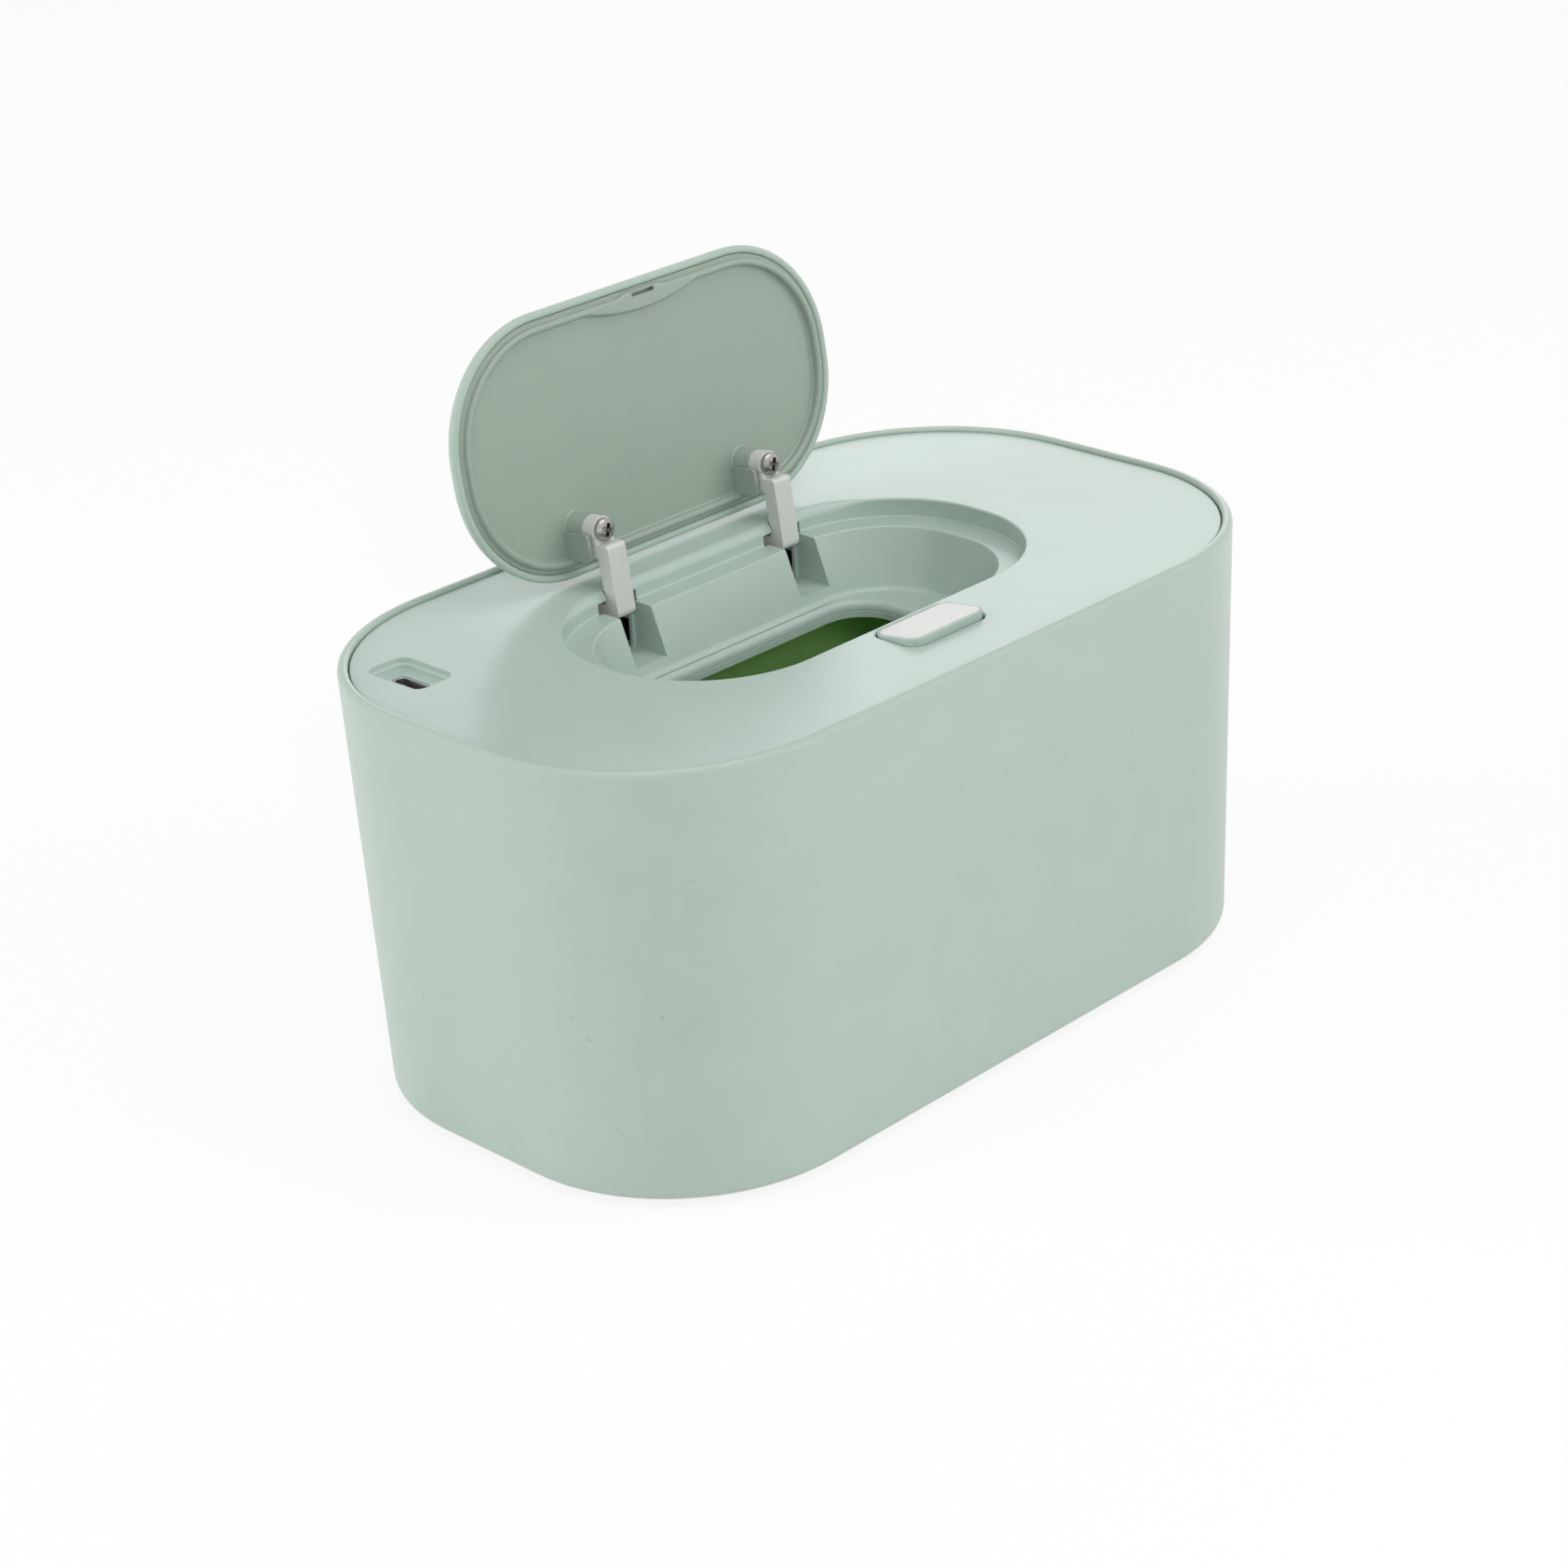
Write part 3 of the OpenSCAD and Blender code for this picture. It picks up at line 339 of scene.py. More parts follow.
def moulded_group(speck_from=0.785, speck_full=0.80, flicker_share=0.15, peel_share=0.6):
    """Drift: slow noise mixes two colours. Specks: a fine noise above a threshold, reached only in rare places.
    Roughness: base plus spread times a slow noise and a small share of a fine one. Height: orange peel, a
    broad noise, plus a finer grain times its amount."""
    tree, given, out = group_tree("moulded_surface", [
        ("Vector", "NodeSocketVector", None), ("Colour", "NodeSocketColor", (0.5, 0.5, 0.5, 1)),
        ("Drift Colour", "NodeSocketColor", (0.45, 0.5, 0.45, 1)), ("Drift", "NodeSocketFloat", 0.5),
        ("Speck Colour", "NodeSocketColor", (0.1, 0.1, 0.1, 1)), ("Specks", "NodeSocketFloat", 0.0),
        ("Roughness", "NodeSocketFloat", 0.3), ("Spread", "NodeSocketFloat", 0.08),
        ("Grain", "NodeSocketFloat", 0.3), ("Grain Scale", "NodeSocketFloat", 1400.0)],
        [("Color", "NodeSocketColor"), ("Roughness", "NodeSocketFloat"), ("Height", "NodeSocketFloat")])
    vector = given["Vector"]
    slow = ranged(tree, noise_in(tree, vector, 14.0, 3.0), 0.35, 0.65, 0.0, 1.0)
    middle = ranged(tree, noise_in(tree, vector, 90.0, 2.0), 0.3, 0.7, 0.0, 1.0)
    colour = mixed(tree, math_in(tree, "MULTIPLY", slow, given["Drift"]), given["Colour"], given["Drift Colour"])
    shade = ranged(tree, middle, 0.0, 1.0, 0.985, 1.015)
    colour = mixed(tree, 1.0, colour, node_in(tree, "ShaderNodeCombineColor",
                   {0: shade, 1: shade, 2: shade}).outputs[0], "MULTIPLY")
    spots = ranged(tree, noise_in(tree, vector, 620.0, 1.0), speck_from, speck_full, 0.0, 1.0)
    colour = mixed(tree, math_in(tree, "MULTIPLY", spots, given["Specks"]), colour, given["Speck Colour"])
    tree.links.new(colour, out["Color"])
    wander = math_in(tree, "MULTIPLY", math_in(tree, "SUBTRACT", slow, 0.5), given["Spread"])
    fine = noise_in(tree, vector, given["Grain Scale"], 2.0)
    flicker = math_in(tree, "MULTIPLY", math_in(tree, "SUBTRACT", fine, 0.5), flicker_share)
    wander = math_in(tree, "ADD", wander, math_in(tree, "MULTIPLY", flicker, given["Spread"]))
    tree.links.new(math_in(tree, "ADD", given["Roughness"], wander), out["Roughness"])
    peel = math_in(tree, "MULTIPLY", noise_in(tree, vector, 260.0, 1.0), peel_share)
    tree.links.new(math_in(tree, "ADD", peel, math_in(tree, "MULTIPLY", fine, given["Grain"])), out["Height"])
    return tree


def hairline_group(turns=(0.5, 2.2), stretch=(12.0, 760.0, 300.0)):
    """Faint scratches from handling: noise stretched 60 to 1 along two directions, kept only at its peaks."""
    tree, given, out = group_tree("hairlines", [("Vector", "NodeSocketVector", None),
                                                ("Amount", "NodeSocketFloat", 0.5)],
                                  [("Mask", "NodeSocketFloat")])
    lines = []
    for turn in turns:
        mapped = node_in(tree, "ShaderNodeMapping", {"Vector": given["Vector"], "Rotation": (0.0, 0.0, turn),
                                                     "Scale": stretch}).outputs[0]
        lines.append(ranged(tree, noise_in(tree, mapped, 1.0, 1.0), 0.68, 0.76, 0.0, 1.0))
    both = math_in(tree, "MAXIMUM", lines[0], lines[1])
    patchy = ranged(tree, noise_in(tree, given["Vector"], 22.0), 0.45, 0.62, 0.0, 1.0)
    tree.links.new(math_in(tree, "MULTIPLY", math_in(tree, "MULTIPLY", both, patchy), given["Amount"]), out["Mask"])
    return tree


moulded, hairlines = moulded_group(), hairline_group()

# %% [markdown]
# Each material places the groups, adds what only it shows, and ends in its own shader. Values that are the
# same all over a surface, such as the strength of the reflection, stand on the shader itself.

# %% Materials of plastic
def plastic(name, colour, drift_colour, roughness, drift=0.5, spread=0.08, specks=0.0, grain=0.3,
            grain_scale=1400.0, bump=0.00012, scratches=0.0, gloss=0.5, under=0.0):
    """Moulded plastic: the group's colour, roughness and height, with hairlines that dull the gloss a little.
    under is the share of light that travels below the surface, as in natural nylon."""
    material = bpy.data.materials.new(name)
    material.use_nodes = True
    tree = material.node_tree
    shader = tree.nodes["Principled BSDF"]
    vector = node_in(tree, "ShaderNodeTexCoord").outputs["Object"]
    skin = node_in(tree, "ShaderNodeGroup", node_tree=moulded)
    for key, value in (("Colour", colour + (1,)), ("Drift Colour", drift_colour + (1,)), ("Drift", drift),
                       ("Speck Colour", tuple(0.4 * c for c in colour) + (1,)), ("Specks", specks),
                       ("Roughness", roughness), ("Spread", spread), ("Grain", grain),
                       ("Grain Scale", grain_scale)):
        skin.inputs[key].default_value = value
    tree.links.new(vector, skin.inputs["Vector"])
    lines = node_in(tree, "ShaderNodeGroup", node_tree=hairlines)
    tree.links.new(vector, lines.inputs["Vector"])
    lines.inputs["Amount"].default_value = scratches
    tree.links.new(skin.outputs["Color"], shader.inputs["Base Color"])
    rough = math_in(tree, "ADD", skin.outputs["Roughness"], math_in(tree, "MULTIPLY", lines.outputs["Mask"], 0.25))
    tree.links.new(rough, shader.inputs["Roughness"])
    height = math_in(tree, "SUBTRACT", skin.outputs["Height"],
                     math_in(tree, "MULTIPLY", lines.outputs["Mask"], 0.1))
    bumps = node_in(tree, "ShaderNodeBump", {"Height": height, "Strength": 0.5, "Distance": bump})
    tree.links.new(bumps.outputs["Normal"], shader.inputs["Normal"])
    shader.inputs["Specular IOR Level"].default_value = gloss
    if under:
        shader.inputs["Subsurface Weight"].default_value = under
        shader.inputs["Subsurface Radius"].default_value = (0.9, 1.0, 0.8)
        shader.inputs["Subsurface Scale"].default_value = 0.0012
    return material


mint_plastic = plastic("mint_plastic", (0.40, 0.492, 0.428), (0.39, 0.483, 0.419), 0.34,
                       specks=0.35, grain=0.5, scratches=0.15)
cover_plastic = plastic("cover_plastic", (0.418, 0.518, 0.467), (0.41, 0.51, 0.459), 0.28,
                        specks=0.15, grain=0.0, spread=0.0, bump=0.00003)
# Painted shade: the lid's inner plate is the lid's own mint plastic, painted darker and yellower because the open
# lid's inside lies in shade.
lid_inner_plastic = plastic("lid_inner_plastic", (0.318, 0.378, 0.322), (0.308, 0.37, 0.314), 0.38, grain=0.5,
                            specks=0.3)
# Painted light: the liner's own colour is a deep grass green, and this pale bright green stands in for the light that
# reaches the inside of the tub.
green_plastic = plastic("green_plastic", (0.49, 0.84, 0.32), (0.45, 0.79, 0.28), 0.5, drift=0.8, grain=0.6)
arm_nylon = plastic("arm_nylon", (0.64, 0.655, 0.62), (0.61, 0.625, 0.585), 0.42, drift=0.7, grain=0.4, under=0.3)
inlay_plastic = plastic("inlay_plastic", (0.505, 0.51, 0.485), (0.49, 0.495, 0.47), 0.34, grain=0.15)
latch_plastic = plastic("latch_plastic", (0.70, 0.70, 0.67), (0.66, 0.66, 0.62), 0.4, under=0.15)
foot_rubber = plastic("foot_rubber", (0.05, 0.055, 0.05), (0.065, 0.07, 0.065), 0.75, grain=1.2, specks=0.1)
gasket_rubber = plastic("gasket_rubber", (0.60, 0.62, 0.60), (0.55, 0.57, 0.55), 0.6, grain=0.8, under=0.3)
film_plastic = plastic("film_plastic", (0.55, 0.22, 0.04), (0.45, 0.16, 0.03), 0.25, drift=0.8)
foam = plastic("foam", (0.08, 0.08, 0.09), (0.05, 0.05, 0.055), 0.95, drift=0.8, grain=2.5, grain_scale=900.0,
               bump=0.0004)
dark_plastic = plastic("dark_plastic", (0.03, 0.03, 0.035), (0.04, 0.04, 0.045), 0.45)
grey_plastic = plastic("grey_plastic", (0.26, 0.265, 0.26), (0.23, 0.235, 0.23), 0.4)
board_lacquer = plastic("board", (0.02, 0.11, 0.04), (0.025, 0.15, 0.05), 0.25, drift=0.9)
lead_sleeve = plastic("lead_sleeve", (0.50, 0.03, 0.02), (0.42, 0.025, 0.02), 0.45)

# %% [markdown]
# Screws, springs and pins are bright metal with drawing or turning marks: fine noise stretched along the
# piece, which shows in the gloss more than in the colour, and a dull film that has settled in patches.

# %% Materials of metal
def metal(name, colour, dull_colour, roughness, stretch=(900.0, 60.0, 900.0)):
    """Metal: stretched noise for the marks, a slow noise for the dull patches."""
    material = bpy.data.materials.new(name)
    material.use_nodes = True
    tree = material.node_tree
    shader = tree.nodes["Principled BSDF"]
    vector = node_in(tree, "ShaderNodeTexCoord").outputs["Object"]
    along = node_in(tree, "ShaderNodeMapping", {"Vector": vector, "Scale": stretch}).outputs[0]
    marks = noise_in(tree, along, 4.0, 3.0)
    patches = ranged(tree, noise_in(tree, vector, 180.0, 3.0), 0.4, 0.65, 0.0, 1.0)
    tree.links.new(mixed(tree, patches, colour + (1,), dull_colour + (1,)), shader.inputs["Base Color"])
    rough = math_in(tree, "ADD", ranged(tree, marks, 0.3, 0.7, roughness - 0.06, roughness + 0.08),
                    math_in(tree, "MULTIPLY", patches, 0.08))
    tree.links.new(rough, shader.inputs["Roughness"])
    bumps = node_in(tree, "ShaderNodeBump", {"Height": marks, "Strength": 0.35, "Distance": 0.00004})
    tree.links.new(bumps.outputs["Normal"], shader.inputs["Normal"])
    shader.inputs["Metallic"].default_value = 1.0
    return material


plated_steel = metal("plated_steel", (0.48, 0.46, 0.43), (0.36, 0.345, 0.32), 0.2)
pin_steel = metal("pin_steel", (0.58, 0.58, 0.60), (0.45, 0.45, 0.46), 0.28)
spring_steel = metal("spring_steel", (0.40, 0.40, 0.42), (0.30, 0.30, 0.31), 0.35)
heater_aluminium = metal("heater_aluminium", (0.75, 0.76, 0.78), (0.62, 0.63, 0.65), 0.4, (80.0, 2400.0, 80.0))

# %% [markdown]
# The tub is one moulding. Its wall leans in by 2.5 mm from rim to base, so that it leaves the mould, and its
# rim is a narrow rounded land round the cover. One section from the middle of the base, up the outside, over
# the rim and down the inside to the floor gives the whole piece. Four pockets in the base take the feet.

# %% Tub
tub_r, tub_inset, tub_wall = 45.5, 2.5, 2.4
cover_gap_out, seat_out, seat_step_z, wall_top_z = 43.25, 41.1, 87.5, 85.3


def tub_out(z):
    """Radius of the tub's corner at a height: full at the rim, less by the inset at the base."""
    return tub_r - tub_inset * (rim_z - z) / (rim_z - base_z)


foot_places = [(x, y) for x in (-78.0, 78.0) for y in (-36.0, 36.0)]
tub_section = section(tub_reach, [
    (6, base_z, 0), (tub_out(base_z), base_z, 2.2), (tub_out(rim_z), rim_z, 1.3), (cover_gap_out, rim_z, 0.85),
    (cover_gap_out, seat_z, 0.3), (seat_out, seat_z, 0.3), (seat_out, seat_step_z, 0.2),
    (tub_out(wall_top_z) - tub_wall, wall_top_z, 0.6), (tub_out(floor_z) - tub_wall, floor_z, 3.2),
    (6, floor_z, 0)], steps=6)
tub_shell = piece_of("tub_shell_skin", body_of_grid(carried(tub_section, track)))
combine(tub_shell, "DIFFERENCE", *[turned([(6.5, 0.5), (6.5, 3.0)], (x, y, 0)) for x, y in foot_places])
soften(tub_shell, 0)
place_on(tub_shell, "base", ["tub_shell"], mint_plastic)

# %% [markdown]
# The feet are soft pads pressed into the pockets, with a rounded edge and a shallow dish that grips the table.
# A plain cylinder would stand in for one, but a turned line gives the edge and the dish in the same step.

# %% Feet
foot_line = rounded([(0.05, 0.25, 0), (4.2, 0.25, 0.3), (4.5, 0.0, 0.2), (6.3, 0.0, 0.6), (6.3, 3.0, 0.1),
                     (0.05, 3.0, 0)], steps=4)
rubber_feet = piece_of("rubber_feet_pads", joined(*[turned(foot_line, (x, y, 0)) for x, y in foot_places]))
soften(rubber_feet, 0)
place_on(rubber_feet, "base", ["rubber_feet"], foot_rubber)

# %% [markdown]
# A green liner stands in the tub and holds the wipes. It is what shows through the dispensing opening. Its green is
# painted much paler and brighter than its own deep grass green: painted light for the light that reaches the inside of
# the tub.
# It follows the tub's wall half a millimetre inside it and is 1.2 mm thick, so its section is a copy of the
# tub's inner side in two distances.

# %% Liner
liner_outer, liner_inner = 2.9, 4.1
liner_section = section(tub_reach, [
    (6, floor_z, 0), (tub_out(floor_z) - liner_outer, floor_z, 3.0),
    (tub_out(liner_rim_z) - liner_outer, liner_rim_z, 0.5), (tub_out(liner_rim_z) - liner_inner, liner_rim_z, 0.4),
    (tub_out(liner_floor_z) - liner_inner, liner_floor_z, 2.2), (6, liner_floor_z, 0)], steps=6)
wipe_liner = piece_of("wipe_liner_skin", body_of_grid(carried(liner_section, track)))
soften(wipe_liner, 0)
place_on(wipe_liner, "base", ["wipe_liner"], green_plastic)

# %% [markdown]
# The cover is the piece that most of the picture shows: a glossy panel, the lid's recess with its ledge, a
# sloping well and a rolled lip round the dispensing opening. All of these follow the same plan in four sizes,
# so a single closed section runs over all of them, down the opening and back along the underside.
# At the back the recess has a larger radius, because the lid's rear edge swings past it. Two tracks of the
# same section, one with the small and one with the large radius, are blended by a smooth mask for that.

# %% Cover
cover_track = round_track(20, 28, 6)


def cover_grid(edge_r):
    """The cover's closed section with the given radius on the recess's upper edge, carried round the track."""
    def row(reach, out, z, r=0):
        return [*reach, out, z, r]
    corners = [
        row(tub_reach, 43.0, skirt_z, 0.3), row(tub_reach, 43.0, panel_z, 0.35), row(tub_reach, 41.2, panel_z),
        row(recess_reach, 31.5, panel_z), row(recess_reach, 28.0, panel_z, edge_r),
        row(recess_reach, 28.0, ledge_z, 0.45), row(recess_reach, 26.8, ledge_z),
        row(well_reach, 23.2, ledge_z), row(well_reach, 22.0, ledge_z, 0.55),
        row(well_reach, 17.0, well_z, 1.6), row(well_reach, 15.7, well_z),
        row(mouth_reach, 11.6, well_z), row(mouth_reach, 10.0, well_z, 1.4), row(mouth_reach, 9.6, well_low_z, 0.3),
        row(mouth_reach, 11.5, well_low_z), row(well_reach, 17.5, well_low_z),
        row(well_reach, 18.8, well_low_z, 0.4), row(well_reach, 23.45, ledge_low_z),
        row(recess_reach, 27.5, ledge_low_z), row(recess_reach, 29.8, ledge_low_z, 0.3),
        row(recess_reach, 29.8, panel_low_z), row(tub_reach, 40.95, panel_low_z, 0.3),
        row(tub_reach, 40.95, skirt_z, 0.3)]
    return carried(rounded(corners, steps=5, closed=True), cover_track)


plain, swung = cover_grid(0.5), cover_grid(2.2)
behind = np.clip((cover_track[1][:, 1] - 0.75) / 0.2, 0, 1)
behind = behind * behind * (3 - 2 * behind)
cover_points = plain * (1 - behind[None, :, None]) + swung * behind[None, :, None]
top_cover = piece_of("top_cover_skin", body_of_grid(cover_points, closed=True))

# %% [markdown]
# Under the panel hang the parts that a mould forms with its inserts: two bays for the hinge springs, the
# sleeve that guides the button and the cup of the power inlet. Joined to the shell, they are then cut open:
# the slots for the arms, the bays, the button's hole, the inlet's recess and the slit for the catch.
# Each bay is cut by six boxes, since the arm, its knuckle and the springs beside it need different widths. One
# of them opens the bay's side and back walls low down, a guess, so that the bay looks dark as in the picture.

# %% Cover: bays, sleeve, cup and openings
def plan_body(centre, reach, corners, steps=3, arc_steps=8):
    """Body of a section carried round a small plan about its own centre."""
    grid = carried(section(reach, corners, steps), round_track(arc_steps, 2, 2))
    return body_of_grid(grid + np.array([centre[0], centre[1], 0.0]))


bay_half = 6.8
bay_outline = [(20.64, 79.5), (24.92, 90.8), (30.9, 90.8), (30.9, 95.0), (40.9, 95.0), (40.9, 79.5)]
bay_cuts = [  # half width, y from and to, z from and to
    (4.5, 0.0, 30.0, 81.3, 94.1),   # slot through the well's wall and the ledge, for the arm
    (5.6, 29.5, 39.3, 88.8, 94.1),  # springs and knuckle, upper part
    (5.6, 30.9, 39.3, 80.7, 89.5),  # springs and knuckle, lower part
    (8.0, 32.0, 42.0, 80.7, 86.5),  # opening in the side and back walls
    (3.7, 28.0, 31.6, 81.3, 89.5),  # passage between arm and spring room
    (2.9, 28.0, 31.6, 81.3, 97.5)]  # notch through the panel's edge for the arm
combine(top_cover, "UNION",
        *[prism(bay_outline, x - bay_half, x + bay_half) for x in arm_places],
        plan_body((0, button_y), button_reach, [(0.5, 90.6, 0), (4.85, 90.6, 0), (4.85, 95.0, 0), (0.5, 95.0, 0)]),
        plan_body((port_x, port_y), port_reach, [(0.5, 92.3, 0), (4.2, 92.3, 0), (4.2, 95.0, 0), (0.5, 95.0, 0)]))
combine(top_cover, "DIFFERENCE",
        *[block((x - half, near, low), (x + half, far, high)) for half, near, far, low, high in bay_cuts
          for x in arm_places],
        *[turned([(1.27, -8.0), (1.27, 8.0)], (x, pivot_y, pivot_z), "x", 32) for x in arm_places],
        plan_body((0, button_y), button_reach, [(0.5, 89.0, 0), (3.45, 89.0, 0), (3.45, 95.75, 0),
                                                (3.85, 96.15, 0), (3.85, 98.0, 0), (0.5, 98.0, 0)]),
        plan_body((port_x, port_y), port_reach, [(0.5, 93.9, 0), (2.05, 93.9, 0.2), (2.2, 94.8, 0.2),
                                                 (2.75, 95.05, 0.2), (2.9, 96.15, 0), (2.9, 98.0, 0), (0.5, 98.0, 0)]),
        plan_body((port_x, port_y), plug_reach, [(0.3, 91.0, 0), (1.5, 91.0, 0), (1.5, 95.0, 0), (0.3, 95.0, 0)]),
        block((catch_x - catch_half, catch_y - 0.55, 88.0), (catch_x + catch_half, catch_y + 0.55, 92.8)))
soften(top_cover, 0.3)
place_on(top_cover, "cover", ["top_cover"], cover_plastic)

# %% [markdown]
# The lid's outer moulding is a plate with a soft edge of 2.4 mm and a skirt that hangs down round the inner
# plate. It is carried round the recess's plan, one millimetre smaller, so that an even gap runs round it.

# %% Lid, outer moulding
lid_r, skirt_inner, lid_low_z, plate_top_z = 27.0, 25.25, 92.8, 94.5
lid_section = section(recess_reach, [
    (5, panel_z, 0), (lid_r, panel_z, 2.4), (lid_r, lid_low_z, 0.8), (skirt_inner, lid_low_z, 0.75),
    (skirt_inner, plate_top_z, 0.15), (5, plate_top_z, 0)], steps=6)
lid_shell = piece_of("lid_shell_skin", body_of_grid(carried(lid_section, track)))
soften(lid_shell, 0)
open_up(lid_shell)
place_on(lid_shell, "lid", ["lid_shell"], mint_plastic)

# %% [markdown]
# The inner plate carries the sealing rib. At the front the rib swells into a soft bulge with the slit that
# the latch hooks into: there a parabola pushes the rib's inner wall inwards, and beside the slit half a cosine
# wave draws the outer wall in. The slit is wider at its bottom, where the hook's nose reaches under the edge.
# Two bosses take the arms' screws, and a flat tab beside each boss keeps the arm from turning.

# %% Lid, inner plate
plate_low_z, rib_low_z, rim_low_z, rib_middle = 93.7, 91.92, 93.3, 23.4
lid_track = round_track(20, 64, 4)
inner_section = section(recess_reach, [
    (5, plate_low_z, 0), (22.6, plate_low_z, 0.5), (22.65, rib_low_z, 0.72), (24.15, rib_low_z, 0.72),
    (24.15, rim_low_z, 0.4), (25.17, rim_low_z, 0.05), (25.17, plate_top_z, 0.1), (5, plate_top_z, 0)])
inner_grid = carried(inner_section, lid_track)
front = (lid_track[1][:, 1] < -0.999)[None]
from_catch = inner_grid[..., 0] - catch_x
out_of_row = inner_section[:, 2]
inner_wall = ((out_of_row > 21.5) & (out_of_row < rib_middle))[:, None]
outer_wall = ((out_of_row > rib_middle) & (out_of_row < 24.7))[:, None]
swell_depth, swell_half, pad_depth, pad_from, pad_length = 2.3, 16.0, 0.65, 4.2, 3.0
swell = swell_depth * np.clip(1 - (from_catch / swell_half) ** 2, 0, 1)
fade = np.clip((np.abs(from_catch) - pad_from) / pad_length, 0, 1)
pad = pad_depth * (0.5 + 0.5 * np.cos(np.pi * fade))
inner_grid[..., 1] += front * (swell * inner_wall - pad * outer_wall)
lid_inner = piece_of("lid_inner_skin", body_of_grid(inner_grid))
root_z, slit_half, slit_top_z = 94.2, 0.42, 93.4
boss_line = rounded([(0.05, root_z, 0), (4.0, root_z, 0), (3.3, 93.4, 0.5), (2.9, arm_top_z, 0.0),
                     (0.05, arm_top_z, 0)], steps=4)
tab_outline = [(18.8, root_z), (18.8, 86.7), (19.2, 86.3), (24.4, 86.3), (24.8, 86.7), (24.8, root_z)]
combine(lid_inner, "UNION",
        *[turned(boss_line, (x, screw_y, 0)) for x in arm_places],
        *[prism(tab_outline, x - 3.9, x - 2.9) for x in arm_places])
slit_left, slit_near, slit_far = catch_x - catch_half, catch_y - slit_half, catch_y + slit_half
combine(lid_inner, "DIFFERENCE",
        block((slit_left, slit_near, 90.0), (catch_x + catch_half, slit_far, slit_top_z)),
        block((slit_left, slit_near, 92.5), (catch_x + 4.0, slit_far, slit_top_z)))
soften(lid_inner, 0.25)
open_up(lid_inner)
place_on(lid_inner, "lid", ["lid_inner"], lid_inner_plastic)

# %% [markdown]
# Each arm is a flat gooseneck of natural nylon: an eye on the screw, a short web, the long limb that dives
# through the slot, and a leg up to the knuckle on the hinge pin. The outline is extruded across, the round
# eye and knuckle are joined to it, the pin's bore is cut, and all edges are rounded.

# %% Arms
limb_low_z, leg_top_z, eye_r, bore_r = 81.8, 90.7, 2.9, 1.29
arm_outline = rounded([
    (screw_y, arm_low_z, 0), (screw_y, arm_top_z, 0), (23.9, arm_top_z, 0.8), (23.9, arm_low_z, 0.9),
    (34.5, arm_low_z, 0.8), (34.5, leg_top_z, 0), (37.5, leg_top_z, 0), (37.5, limb_low_z, 1.6),
    (21.2, limb_low_z, 0.9), (21.2, arm_low_z, 0.5)], steps=4, closed=True)


def gooseneck(name, x):
    """One arm at x: the extruded outline with eye and knuckle joined, and the bore cut."""
    arm = piece_of(name, prism(arm_outline, x - arm_half, x + arm_half))
    combine(arm, "UNION", turned([(eye_r, arm_low_z), (eye_r, arm_top_z)], (x, screw_y, 0)),
            turned([(eye_r, -arm_half), (eye_r, arm_half)], (x, pivot_y, pivot_z), "x"))
    combine(arm, "DIFFERENCE", turned([(bore_r, -6.0), (bore_r, 6.0)], (x, pivot_y, pivot_z), "x", 32))
    soften(arm, 0.75, steps=4)
    open_up(arm)
    return arm


for side, x in zip(("left", "right"), arm_places):
    place_on(gooseneck("hinge_arm_" + side + "_skin", x), "lid", ["hinge_arm_" + side], arm_nylon)

# %% [markdown]
# The screws have domed pan heads with a cross recess. The head is a turned line, and the cross is cut by two
# narrow tapered blades, as the punch of a screw maker does.

# %% Arm screws
head_r, shank_r, shank_top_z, cross_turn = 2.5, 1.1, 93.9, 0.35
screw_line = rounded([(0.05, 83.55, 0), (1.6, 83.6, 1.2), (head_r, 84.3, 0.6), (head_r, arm_low_z, 0.1),
                      (shank_r, arm_low_z, 0), (shank_r, shank_top_z, 0), (0.05, shank_top_z, 0)], steps=5)


def blade(x, turn):
    """Tapered blade of the cross: 3.4 by 1.0 mm at the head's face, 1.7 by 0.6 mm at the bottom."""
    low = np.array([(-1.7, -0.5), (1.7, -0.5), (1.7, 0.5), (-1.7, 0.5)])
    high = np.array([(-0.85, -0.3), (0.85, -0.3), (0.85, 0.3), (-0.85, 0.3)])
    spin = np.array([[np.cos(turn), np.sin(turn)], [-np.sin(turn), np.cos(turn)]])
    levels = [(low, 83.2), (high, 85.1)]
    grid = np.stack([np.column_stack([shape @ spin, np.full(4, z)]) for shape, z in levels])
    return body_of_grid(grid + np.array([x, screw_y, 0.0]))


arm_screws = piece_of("arm_screws_heads", joined(*[turned(screw_line, (x, screw_y, 0)) for x in arm_places]))
combine(arm_screws, "DIFFERENCE",
        *[blade(x, turn) for x in arm_places for turn in (cross_turn, cross_turn + np.pi / 2)])
soften(arm_screws, 0.08)
open_up(arm_screws)
place_on(arm_screws, "lid", ["arm_screws"], plated_steel)

# %% [markdown]
# The button's top slopes down towards the lid. Its sections are carried flat, and a column of its own says how
# much of the top's slope each row takes: all of it on the top, none at the bottom of the skirt. The pale
# inlay lies in a shallow tray in the top, with a hair of a groove round it.

# %% Button
front_lift, lift_drop, button_half = 1.7, 1.6, 6.15
cap_out, tray_out, inlay_out, tray_z = 3.0, 2.62, 2.56, panel_z - 0.4


def sloping_body(corners, steps=4):
    """Body round the button's plan. Corners are [out, z, slope share, radius]; the slope adds the height of
    the top's plane at each point: 1.7 mm at the front edge and 0.1 mm at the back."""
    line = rounded(corners, steps)
    rows = np.column_stack([np.tile(button_reach, (len(line), 1)), line[:, :2]])
    grid = carried(rows, round_track(8, 8, 4)) + np.array([0, button_y, 0])
    lift = front_lift - lift_drop * (grid[..., 1] - (button_y - button_half)) / (2 * button_half)
    grid[..., 2] += lift * line[:, 2][:, None]
    return body_of_grid(grid)


